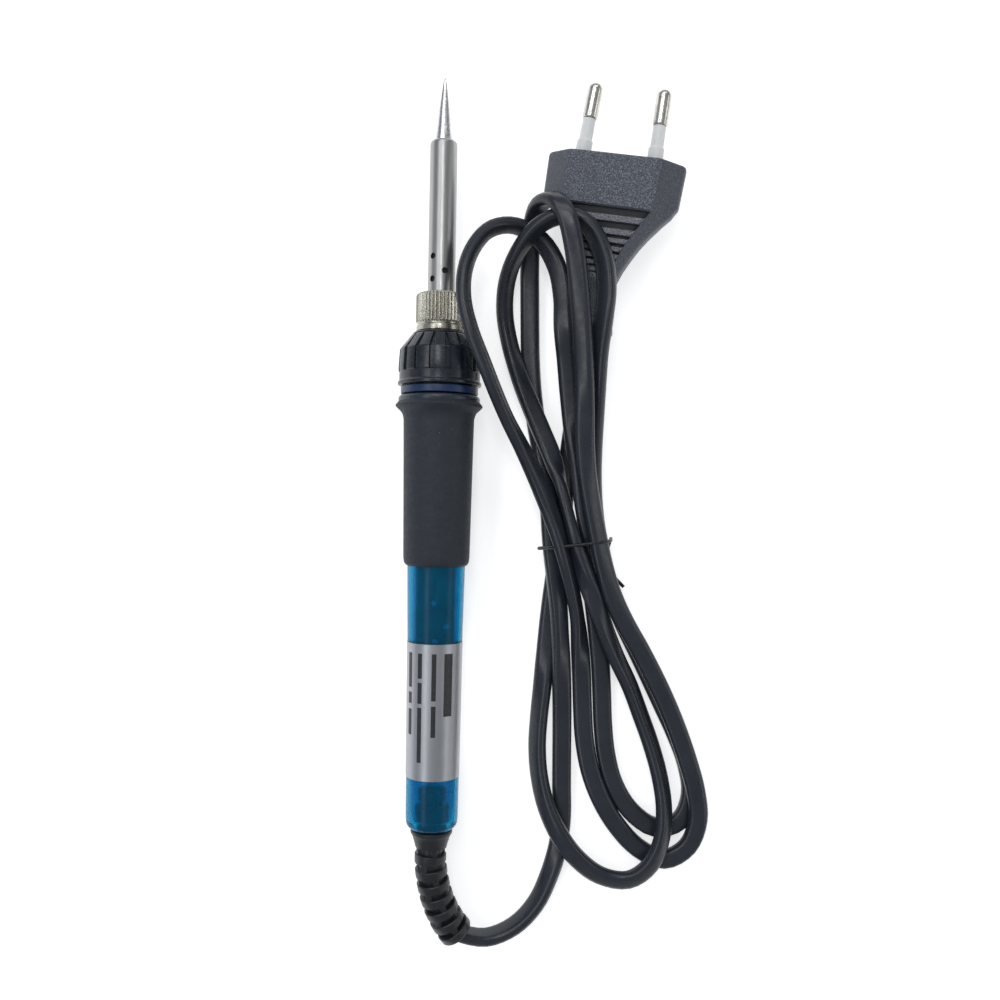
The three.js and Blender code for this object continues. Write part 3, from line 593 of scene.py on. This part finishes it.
# ------------------------------------------------------------------ plug frame
yw, pt, rl = (math.radians(v) for v in (-8.73, 2.5, -11.2))
PM = np.array(Matrix.Rotation(yw, 3, "Z") @ Matrix.Rotation(pt, 3, "X") @ Matrix.Rotation(rl, 3, "Y"))
PO = np.array([44.19, 75.01, 9.55])
PF = (PM, PO)

# ------------------------------------------------------------------ cord: flat two-core, 5.0 x 3.2 mm
ROUTE = np.array([[0.00, -85.50, 11.00],
 [0.00, -89.50, 11.00],
 [0.00, -94.00, 11.00],
 [-0.05, -99.10, 10.95],
 [-0.15, -103.10, 10.80],
 [0.30, -107.30, 10.30],
 [1.10, -111.30, 9.60],
 [2.20, -114.90, 8.80],
 [3.60, -118.20, 7.90],
 [5.00, -120.80, 7.10],
 [6.78, -123.28, 6.20],
 [14.21, -125.38, 4.15],
 [21.48, -122.77, 2.99],
 [26.96, -117.12, 2.47],
 [30.33, -109.97, 2.24],
 [32.58, -102.36, 1.86],
 [33.47, -94.40, 1.76],
 [33.32, -86.36, 1.89],
 [33.20, -78.32, 2.01],
 [33.09, -70.29, 2.30],
 [32.88, -62.25, 3.05],
 [32.51, -54.26, 4.05],
 [32.02, -46.33, 4.80],
 [31.38, -38.50, 5.58],
 [30.45, -30.60, 6.17],
 [29.38, -22.58, 6.18],
 [28.74, -14.64, 5.43],
 [27.87, -6.79, 4.38],
 [26.36, 0.98, 3.40],
 [24.85, 8.80, 2.65],
 [23.76, 16.72, 2.20],
 [23.13, 24.71, 2.04],
 [22.85, 32.72, 2.08],
 [22.66, 40.67, 2.28],
 [22.48, 48.55, 2.94],
 [22.62, 56.45, 4.93],
 [23.94, 62.44, 10.04],
 [27.33, 63.43, 16.04],
 [30.76, 58.57, 19.06],
 [32.84, 50.96, 18.67],
 [34.03, 43.05, 18.02],
 [34.97, 35.10, 17.19],
 [35.74, 27.20, 16.02],
 [36.33, 19.37, 14.57],
 [36.69, 11.54, 13.10],
 [36.93, 3.65, 12.00],
 [37.57, -4.25, 11.44],
 [38.87, -12.10, 11.04],
 [40.59, -19.92, 10.37],
 [42.41, -27.70, 9.67],
 [44.84, -35.23, 8.89],
 [48.29, -42.37, 7.65],
 [52.34, -49.23, 6.74],
 [56.19, -56.24, 6.21],
 [59.73, -63.44, 5.92],
 [62.87, -70.87, 5.74],
 [65.60, -78.46, 5.50],
 [67.82, -86.11, 5.07],
 [68.70, -93.88, 4.30],
 [66.40, -101.20, 2.96],
 [60.45, -104.95, 2.05],
 [53.59, -102.13, 1.93],
 [47.89, -96.25, 2.48],
 [43.57, -89.34, 3.16],
 [40.58, -81.78, 2.99],
 [39.01, -73.83, 2.62],
 [38.37, -65.81, 2.56],
 [37.96, -57.80, 2.80],
 [37.36, -49.87, 3.46],
 [36.45, -42.15, 4.82],
 [34.89, -34.66, 7.01],
 [32.83, -27.25, 9.35],
 [30.48, -19.67, 10.27],
 [27.64, -12.21, 10.16],
 [24.45, -4.93, 10.80],
 [20.94, 1.83, 12.67],
 [17.37, 8.17, 15.37],
 [14.24, 14.82, 18.17],
 [11.29, 21.77, 20.49],
 [8.28, 29.00, 21.77],
 [6.23, 36.59, 21.19],
 [6.16, 44.08, 18.88],
 [8.18, 50.98, 15.79],
 [12.26, 56.39, 12.52],
 [18.47, 57.99, 9.87],
 [25.06, 54.84, 8.26],
 [29.31, 48.24, 7.80],
 [30.89, 40.13, 9.43],
 [31.01, 31.92, 12.24],
 [32.06, 24.34, 9.78],
 [32.94, 16.72, 8.15],
 [33.89, 8.89, 7.83],
 [34.94, 0.98, 8.15],
 [35.84, -6.97, 8.21],
 [36.88, -14.91, 7.71],
 [38.27, -22.79, 6.62],
 [39.60, -30.59, 5.26],
 [40.78, -38.30, 3.99],
 [41.91, -46.04, 2.87],
 [42.86, -53.99, 2.12],
 [43.40, -62.03, 1.80],
 [43.84, -70.04, 1.75],
 [44.83, -77.96, 1.80],
 [47.01, -85.51, 1.89],
 [51.31, -92.24, 1.92],
 [57.78, -96.61, 1.87],
 [64.48, -94.83, 1.75],
 [67.19, -87.88, 1.82],
 [65.96, -79.93, 1.93],
 [63.04, -72.37, 1.99],
 [59.58, -65.12, 2.06],
 [56.05, -57.92, 2.18],
 [52.49, -50.75, 2.40],
 [48.86, -43.63, 2.72],
 [45.57, -36.37, 3.11],
 [43.16, -28.77, 3.66],
 [41.32, -21.02, 4.46],
 [40.08, -13.15, 5.35],
 [39.51, -5.22, 6.36],
 [39.45, 2.70, 7.58],
 [39.62, 10.55, 9.18],
 [39.77, 18.30, 11.24],
 [39.96, 25.95, 13.79],
 [40.77, 33.71, 15.34],
 [41.38, 41.75, 15.53],
 [40.17, 49.76, 15.87],
 [36.56, 56.66, 16.17],
 [30.45, 59.28, 15.43],
 [23.88, 56.84, 13.41],
 [19.16, 51.28, 9.58],
 [16.59, 44.68, 5.69],
 [16.18, 37.03, 3.80],
 [17.54, 29.24, 3.80],
 [19.80, 21.72, 4.98],
 [22.60, 14.40, 5.90],
 [25.71, 7.17, 6.45],
 [28.85, -0.14, 6.97],
 [31.41, -7.69, 7.55],
 [33.23, -15.50, 8.23],
 [35.28, -23.22, 9.38],
 [37.89, -30.68, 9.55],
 [40.88, -38.13, 7.87],
 [43.77, -45.48, 6.22],
 [47.02, -52.57, 4.68],
 [50.51, -59.54, 3.48],
 [53.43, -66.91, 2.88],
 [56.24, -74.39, 2.97],
 [58.48, -82.08, 3.72],
 [59.72, -90.06, 4.85],
 [59.30, -98.07, 5.58],
 [56.43, -105.39, 5.26],
 [50.94, -109.82, 4.05],
 [43.79, -108.96, 3.75],
 [37.77, -104.55, 4.69],
 [33.07, -98.56, 5.39],
 [29.45, -91.47, 4.49],
 [27.40, -83.81, 3.19],
 [26.69, -75.96, 2.49],
 [27.04, -68.05, 2.34],
 [27.79, -60.09, 2.19],
 [28.46, -52.11, 2.14],
 [29.09, -44.12, 2.23],
 [29.90, -36.15, 2.45],
 [30.91, -28.24, 2.81],
 [31.81, -20.32, 3.01],
 [32.48, -12.29, 2.62],
 [33.19, -4.31, 2.49],
 [34.02, 3.63, 2.81],
 [35.11, 11.49, 3.68],
 [37.53, 24.01, 6.62],
 [38.15, 28.94, 7.52],
 [38.62, 32.90, 7.87],
 [39.02, 36.18, 8.00]], float)
WIDE = np.array([[-0.112, 0.000, -0.994],
 [-0.112, 0.000, -0.994],
 [-0.108, 0.006, -0.994],
 [-0.099, 0.023, -0.995],
 [-0.083, 0.075, -0.994],
 [-0.063, 0.135, -0.989],
 [-0.044, 0.183, -0.982],
 [-0.031, 0.228, -0.973],
 [-0.031, 0.263, -0.964],
 [-0.052, 0.287, -0.956],
 [-0.130, 0.339, -0.932],
 [-0.211, 0.358, -0.910],
 [-0.348, 0.361, -0.865],
 [-0.538, 0.327, -0.777],
 [-0.733, 0.253, -0.631],
 [-0.952, 0.184, -0.246],
 [-0.998, 0.046, -0.048],
 [-1.000, -0.017, -0.008],
 [-1.000, -0.014, 0.015],
 [-0.998, -0.023, 0.050],
 [-0.990, -0.051, 0.134],
 [-0.918, -0.092, 0.387],
 [-0.767, -0.116, 0.631],
 [-0.819, -0.131, 0.558],
 [-0.948, -0.130, 0.292],
 [-0.991, -0.102, 0.088],
 [-0.993, -0.086, 0.079],
 [-0.979, -0.128, 0.158],
 [-0.977, -0.175, 0.124],
 [-0.986, -0.164, -0.020],
 [-0.982, -0.112, -0.151],
 [-0.991, -0.057, -0.117],
 [-0.998, -0.029, -0.057],
 [-0.999, -0.022, -0.026],
 [-1.000, -0.003, 0.001],
 [-0.995, 0.075, 0.059],
 [-0.941, 0.153, 0.302],
 [-0.818, -0.305, 0.487],
 [-0.911, -0.412, -0.040],
 [-0.966, -0.191, -0.177],
 [-0.964, -0.106, -0.244],
 [-0.945, -0.062, -0.321],
 [-0.918, -0.013, -0.397],
 [-0.937, 0.008, -0.348],
 [-0.991, -0.016, -0.134],
 [-0.983, -0.073, 0.171],
 [-0.919, -0.136, 0.371],
 [-0.862, -0.198, 0.467],
 [-0.847, -0.234, 0.477],
 [-0.864, -0.280, 0.419],
 [-0.863, -0.390, 0.321],
 [-0.841, -0.487, 0.234],
 [-0.844, -0.500, 0.195],
 [-0.868, -0.462, 0.182],
 [-0.895, -0.414, 0.168],
 [-0.920, -0.364, 0.146],
 [-0.941, -0.312, 0.132],
 [-0.966, -0.206, 0.155],
 [-0.986, 0.072, 0.153],
 [-0.807, 0.587, 0.072],
 [-0.079, 0.992, 0.093],
 [0.569, 0.817, 0.093],
 [0.788, 0.613, 0.049],
 [0.893, 0.450, 0.029],
 [0.959, 0.282, 0.015],
 [0.991, 0.137, 0.000],
 [0.998, 0.065, -0.025],
 [0.992, 0.069, -0.106],
 [0.803, 0.152, -0.576],
 [0.404, 0.270, -0.874],
 [0.350, 0.350, -0.869],
 [0.387, 0.303, -0.871],
 [0.517, 0.223, -0.827],
 [0.674, 0.300, -0.676],
 [0.601, 0.410, -0.686],
 [0.326, 0.463, -0.824],
 [0.147, 0.449, -0.881],
 [0.160, 0.410, -0.898],
 [0.205, 0.321, -0.925],
 [0.280, 0.141, -0.950],
 [0.325, -0.133, -0.936],
 [0.257, -0.370, -0.893],
 [0.092, -0.493, -0.865],
 [-0.166, -0.483, -0.860],
 [-0.334, -0.310, -0.890],
 [-0.495, -0.386, -0.779],
 [-0.829, -0.362, -0.425],
 [-0.968, -0.154, -0.196],
 [-0.983, -0.076, -0.170],
 [-0.984, -0.084, -0.154],
 [-0.981, -0.095, -0.169],
 [-0.992, -0.126, -0.027],
 [-0.794, -0.083, 0.603],
 [-0.387, -0.073, 0.919],
 [-0.084, -0.112, 0.990],
 [0.423, -0.068, 0.903],
 [0.908, 0.077, 0.412],
 [0.989, 0.142, 0.036],
 [0.986, 0.141, -0.086],
 [0.994, 0.096, -0.054],
 [0.998, 0.061, -0.023],
 [0.996, 0.089, -0.012],
 [0.980, 0.201, -0.010],
 [0.910, 0.413, -0.015],
 [0.717, 0.696, -0.022],
 [0.193, 0.981, 0.002],
 [-0.676, 0.729, 0.109],
 [-0.987, 0.097, 0.128],
 [-0.963, -0.259, 0.075],
 [-0.917, -0.395, 0.060],
 [-0.898, -0.435, 0.057],
 [-0.895, -0.443, 0.044],
 [-0.893, -0.450, 0.009],
 [-0.901, -0.430, -0.060],
 [-0.919, -0.340, -0.199],
 [-0.881, -0.207, -0.425],
 [-0.822, -0.101, -0.560],
 [-0.782, -0.015, -0.623],
 [-0.745, 0.064, -0.664],
 [-0.737, 0.124, -0.664],
 [-0.745, 0.167, -0.646],
 [-0.742, 0.207, -0.637],
 [-0.746, 0.216, -0.630],
 [-0.784, 0.137, -0.605],
 [-0.814, -0.012, -0.581],
 [-0.715, -0.202, -0.669],
 [-0.352, -0.398, -0.847],
 [0.186, -0.429, -0.884],
 [0.527, -0.130, -0.840],
 [0.593, 0.148, -0.792],
 [0.627, 0.176, -0.759],
 [0.637, 0.132, -0.760],
 [0.644, 0.094, -0.759],
 [0.737, 0.158, -0.657],
 [0.868, 0.314, -0.385],
 [0.907, 0.376, -0.189],
 [0.911, 0.331, -0.247],
 [0.229, -0.014, -0.973],
 [-0.150, -0.153, -0.977],
 [-0.278, -0.168, -0.946],
 [-0.683, -0.185, -0.707],
 [-0.894, -0.401, 0.202],
 [-0.705, -0.425, 0.568],
 [-0.560, -0.409, 0.721],
 [-0.555, -0.343, 0.758],
 [-0.593, -0.255, 0.764],
 [-0.623, -0.166, 0.764],
 [-0.646, -0.052, 0.761],
 [-0.651, 0.055, 0.757],
 [-0.685, 0.165, 0.710],
 [-0.730, 0.453, 0.512],
 [-0.291, 0.841, 0.455],
 [0.347, 0.810, 0.474],
 [0.673, 0.635, 0.380],
 [0.772, 0.497, 0.395],
 [0.710, 0.363, 0.604],
 [0.668, 0.211, 0.714],
 [0.681, 0.055, 0.731],
 [0.694, -0.035, 0.719],
 [0.811, -0.065, 0.581],
 [0.974, -0.080, 0.213],
 [0.991, -0.092, 0.101],
 [0.992, -0.115, 0.044],
 [0.991, -0.121, 0.052],
 [0.991, -0.097, 0.094],
 [0.988, -0.081, 0.130],
 [0.984, -0.097, 0.150],
 [0.979, -0.130, 0.157],
 [0.968, -0.196, 0.159],
 [0.964, -0.206, 0.171],
 [0.970, -0.146, 0.196],
 [0.972, -0.130, 0.196],
 [0.972, -0.127, 0.195]], float)
route = catmull(ROUTE, 4)
wide = catmull(WIDE, 4)
ct, cu, cv = transported(route)
wide -= ct * np.sum(wide * ct, axis=1)[:, None]
wide /= np.linalg.norm(wide, axis=1)[:, None]
flat = np.cross(ct, wide)
NR = 24
phi = np.arange(NR) * 2 * math.pi / NR
EX = 3.0
sx = 2.5 * np.sign(np.cos(phi)) * np.abs(np.cos(phi)) ** (2 / EX)
sy = 1.6 * np.sign(np.sin(phi)) * np.abs(np.sin(phi)) ** (2 / EX)
sy = sy * (1 - 0.05 * np.exp(-(sx / 0.55) ** 2))      # faint waist between the two cores
rings = [[tuple(route[i] + sx[k] * wide[i] + sy[k] * flat[i]) for k in range(NR)] for i in range(len(route))]
cord = new_object("mains_cord", *loft(rings), sharp=80)
use(cord, pvc)
place(cord, "handle", "cord", "power_cord")

# ------------------------------------------------------------------ twist tie
TIE = catmull([[48.40, -33.77, 3.60],
 [45.80, -30.93, 3.60],
 [44.60, -27.82, 3.70],
 [43.90, -24.96, 3.90],
 [44.64, -21.45, 4.91],
 [44.46, -21.52, 6.80],
 [44.20, -21.60, 8.69],
 [43.35, -21.74, 10.36],
 [41.80, -21.94, 11.44],
 [39.96, -22.18, 11.81],
 [38.06, -22.42, 11.79],
 [36.17, -22.66, 11.77],
 [34.27, -22.90, 11.76],
 [32.37, -23.14, 11.74],
 [30.48, -23.38, 11.69],
 [29.05, -23.57, 10.54],
 [27.96, -23.73, 8.98],
 [26.88, -23.89, 7.41],
 [26.12, -24.02, 5.71],
 [26.91, -24.00, 4.01],
 [28.05, -23.94, 2.49],
 [29.31, -23.87, 1.06],
 [31.12, -23.75, 0.54],
 [33.01, -23.62, 0.71],
 [34.91, -23.49, 0.94],
 [36.80, -23.36, 1.17],
 [38.69, -23.23, 1.40],
 [40.58, -23.10, 1.62],
 [42.42, -22.97, 2.09]], 6)
tt, tu, tv = transported(TIE)
rings = []
for i in range(len(TIE)):
    rings.append([tuple(TIE[i] + 0.46 * (math.cos(a) * tu[i] + math.sin(a) * tv[i])) for a in np.arange(14) * 2 * math.pi / 14])
tie = new_object("twist_tie_wrap", *loft(rings))
use(tie, tie_mat)
place(tie, "handle", "tie", "twist_tie")

# ------------------------------------------------------------------ plug body
def interp(y, table):
    ys = [p[0] for p in table][::-1]
    vs = [p[1] for p in table][::-1]
    return float(np.interp(y, ys, vs))
W_T = [(0, 17.65), (-9.8, 17.35), (-10.6, 17.25), (-11.6, 16.6), (-12.9, 15.9), (-15.0, 14.0), (-18.5, 11.2), (-21.5, 9.2), (-24.5, 7.6), (-27.5, 6.2), (-30, 5.35), (-33, 4.6), (-36, 4.35), (-40, 4.3), (-46, 4.3)]
T_T = [(0, 6.85), (-12.9, 6.85), (-13.3, 6.5), (-18, 6.0), (-24, 5.3), (-30, 4.7), (-34, 4.35), (-46, 4.25)]
B_T = [(0, 11.4), (-12.9, 11.0), (-13.4, 10.7), (-15, 9.85), (-18.1, 7.8), (-22, 5.7), (-25.6, 4.2), (-30, 3.2), (-46, 3.0)]
S_T = [(0, 1.6), (-12.9, 1.7), (-18, 2.0), (-30, 2.2), (-46, 2.2)]
Q_T = [(0, 0.0), (-14, 0.0), (-24, 0.10), (-30, 0.35), (-35, 1.0), (-46, 1.0)]
def section(y, w, t, b, s, q, grow=0.0, dz=0.0, x0=0.0):
    w, t = w + grow, t + grow
    corners = [(w, -s), (w, s), (b, t), (-b, t), (-w, s), (-w, -s), (-b, -t), (b, -t)]
    out = []
    for i in range(8):
        p = np.array(corners[i])
        a = np.array(corners[i - 1]) - p
        c = np.array(corners[(i + 1) % 8]) - p
        la, lc = np.linalg.norm(a), np.linalg.norm(c)
        d = min(0.9, 0.42 * la, 0.42 * lc)
        s0, e0 = p + a / la * d, p + c / lc * d
        for tt_ in np.linspace(0, 1, 6):
            out.append((1 - tt_) ** 2 * s0 + 2 * tt_ * (1 - tt_) * p + tt_ ** 2 * e0)
        nxt = np.array(corners[(i + 1) % 8])
        b2 = np.array(corners[(i + 2) % 8]) - nxt
        back = p - nxt
        d2 = min(0.9, 0.42 * np.linalg.norm(back), 0.42 * np.linalg.norm(b2))
        e1 = nxt + back / np.linalg.norm(back) * d2
        m = 12 if i in (2, 6) else 5
        for f in np.linspace(0, 1, m + 1)[1:-1]:
            out.append(e0 + (e1 - e0) * f)
    res = []
    for x, z in out:
        if dz and abs(x) < b + 0.3 and abs(z) > t - 1.0:
            z -= math.copysign(dz * min(1.0, max(0.0, (b + 0.3 - abs(x)) / 0.5)), z)
        if q > 0:
            ph = math.atan2(z / t, x / w)
            x, z = x + (w * math.cos(ph) - x) * q, z + (t * math.sin(ph) - z) * q
        res.append((x + x0, y, z))
    return res
ys = [0.0, -0.08, -0.25, -0.5, -0.9] + list(np.arange(-1.6, -9.8, -1.0)) + [-9.8, -10.2, -10.6, -11.0, -11.6, -12.2, -12.7, -12.9, -13.05, -13.2, -13.35, -13.6]
CRESTS = [-16.6, -19.7, -21.7, -23.7, -25.6, -27.4, -29.1]
LAND = [(-13.25, 0.0), (-13.4, 0.8), (-14.85, 0.8), (-15.0, 0.5), (-16.45, 0.06), (-16.6, 0.0), (-16.74, 0.25), (-16.8, 0.95)]
for c0, c1 in zip(CRESTS[:-1], CRESTS[1:]):
    start = c1 + (1.45 if c0 == CRESTS[0] else 1.15)
    LAND += [(start + 0.12, 0.95), (start, 0.5), (c1 + 0.15, 0.06), (c1, 0.0), (c1 - 0.14, 0.25), (c1 - 0.2, 0.95)]
LAND += [(-29.8, 0.6), (-31.0, 0.0)]
for i in range(len(LAND) - 1):
    ys += [LAND[i][0], 0.5 * (LAND[i][0] + LAND[i + 1][0])]
ys += list(np.arange(-31.0, -40.2, -0.8))
ys = sorted(set(round(float(v), 3) for v in ys), reverse=True)
def ridge(y):
    if y >= LAND[0][0] or y <= LAND[-1][0]:
        return 0.0
    d = interp(y, LAND)
    return d * (1.0 if y > -27 else max(0.0, 1 - (-27 - y) / 6))
skin = []
for y in ys:
    e = 0.0 if y < -0.9 else -0.75 * (1 - math.sqrt(max(0.0, 1 - ((0.9 + y) / 0.9) ** 2)))
    x0 = 0.25 * min(1.0, max(0.0, (-34 - y) / 6))
    skin.append(section(y, interp(y, W_T), interp(y, T_T), interp(y, B_T), interp(y, S_T), interp(y, Q_T), e, ridge(y), x0))
for y, r in ((-40.35, 4.35), (-40.5, 5.0), (-40.7, 5.35), (-41.2, 5.45), (-43.4, 5.45), (-44.0, 5.35), (-44.35, 5.1), (-44.5, 4.8), (-44.5, 3.0), (-44.3, 2.85), (-39.0, 2.8)):
    sq = r if r > 3.2 else r
    tz = r if r > 3.2 else r * 0.72
    skin.append(section(y, sq, tz, 3.0 if r > 3.2 else 1.6, 2.0 if r > 3.2 else 0.8, 1.0, 0.0, 0.0, 0.25 + 0.6 * min(1.0, (-40.35 - y) / 3.0) if y < -40.35 else 0.3))
skin = [[tuple(PM @ np.array(p) + PO) for p in r] for r in skin]
plug = new_object("plug_moulding", *loft(skin), sharp=28)
PI_ = PM.T
def plug_face(c):
    q = PI_ @ (np.array(c) - PO)
    if -12.85 < q[1] < -0.3 and abs(q[2]) > 6.4:
        return 1
    if -31 < q[1] < -13.3 and abs(q[0]) < interp(q[1], B_T) + 0.2 and abs(q[2]) > interp(q[1], T_T) - 1.5:
        # crests take index 2; recessed lands take index 3, the dark painted-shade material
        return 2 if ridge(q[1]) < 0.55 else 3
    return 0
two_part(plug, [plug_smooth, plug_grain, plug_ridge, plug_groove_painted_shade], plug_face)
place(plug, "handle", "plug", "plug_body")

plug_bits = [plug]
for side, word in ((-1, "left"), (1, "right")):
    yaw_pin = math.atan2(-side * (9.3 - 8.75), 19.0)
    c_, s_ = math.cos(-yaw_pin), math.sin(-yaw_pin)
    lean = np.array([[c_, -s_, 0], [s_, c_, 0], [0, 0, 1.0]])
    fr = (PM @ lean, PM @ np.array([side * 9.3, 0, 0]) + PO)
    sleeve = turned(f"sleeve_{word}", rounded([(-0.4, 2.05, 0.05), (4.1, 2.02, 0.2), (4.35, 1.70, 0.1), (9.75, 1.64, 0.1), (9.8, 1.5, 0.02), (-0.4, 1.5, 0.02)]), 48, frame_at=fr)
    use(sleeve, pin_white)
    place(sleeve, "handle", "sleeve", f"pin_sleeve_{word}")
    pin = turned(f"pin_{word}", rounded([(19.0, 0.02, 0), (18.98, 0.6, 0.4), (18.5, 1.55, 0.6), (17.6, 1.98, 0.6), (16.8, 2.0, 0.1), (10.1, 2.0, 0.15), (9.9, 1.85, 0.1), (9.85, 1.4, 0.02), (-5.0, 1.4, 0.02), (-5.1, 0.02, 0)]), 48, loop=False, frame_at=fr)
    use(pin, pin_metal)
    place(pin, "handle", "pin", f"plug_pin_{word}")
    plug_bits += [sleeve, pin]

# ------------------------------------------------------------------ floor, light, world
fl = bpy.data.meshes.new("floor")
fl.from_pydata([(-4, -4, -0.0002), (4, -4, -0.0002), (4, 4, -0.0002), (-4, 4, -0.0002)], [], [(0, 1, 2, 3)])
floor = bpy.data.objects.new("floor", fl)
scene.collection.objects.link(floor)
fm = Mat("floor_panel", (0.90, 0.90, 0.90), 0.9, 0.0, 0.1)
fm.b.inputs["Emission Color"].default_value = (1, 1, 1, 1)
fm.b.inputs["Emission Strength"].default_value = 0.62
floor.data.materials.append(fm.m)

def area(name, loc, size, energy, aim=(0.02, 0, 0)):
    li = bpy.data.lights.new(name, "AREA")
    li.shape = "RECTANGLE"
    li.size, li.size_y, li.energy = size[0], size[1], energy
    ob = bpy.data.objects.new(name, li)
    scene.collection.objects.link(ob)
    ob.location = loc
    ob.rotation_euler = (Vector(aim) - Vector(loc)).to_track_quat("-Z", "Y").to_euler()
    return ob
area("key", (-0.52, 0.05, 0.86), (1.5, 0.24), 2.7)
area("top", (-0.06, 0.40, 0.90), (0.14, 0.5), 1.3, (0, 0.08, 0))
area("back", (0.05, 0.85, 0.70), (0.9, 0.25), 1.5)
area("side", (0.80, -0.10, 0.42), (0.9, 0.2), 0.8)

w = bpy.data.worlds.new("studio")
scene.world = w
w.use_nodes = True
wn, wl = w.node_tree.nodes, w.node_tree.links
bg = wn["Background"]
tc = wn.new("ShaderNodeTexCoord")
sp = wn.new("ShaderNodeSeparateXYZ")
wl.new(tc.outputs["Generated"], sp.inputs["Vector"])
rp = wn.new("ShaderNodeValToRGB")
mr = wn.new("ShaderNodeMapRange")
mr.inputs["From Min"].default_value = -1.0
mr.inputs["From Max"].default_value = 1.0
wl.new(sp.outputs["X"], mr.inputs["Value"])
wl.new(mr.outputs["Result"], rp.inputs["Fac"])
el = rp.color_ramp.elements
el[0].position, el[0].color = 0.0, (0.40, 0.42, 0.46, 1)
el[1].position, el[1].color = 1.0, (0.42, 0.43, 0.44, 1)
for p, c in ((0.14, (0.20, 0.22, 0.26, 1)), (0.34, (0.30, 0.32, 0.36, 1)), (0.50, (0.36, 0.37, 0.39, 1)), (0.70, (0.30, 0.31, 0.32, 1)), (0.86, (0.24, 0.25, 0.26, 1))):
    e = el.new(p); e.color = c
wl.new(rp.outputs["Color"], bg.inputs["Color"])
bg.inputs["Strength"].default_value = 1.0
scene.view_settings.view_transform = "Standard"
scene.view_settings.look = "None"
scene.view_settings.exposure = 0.0
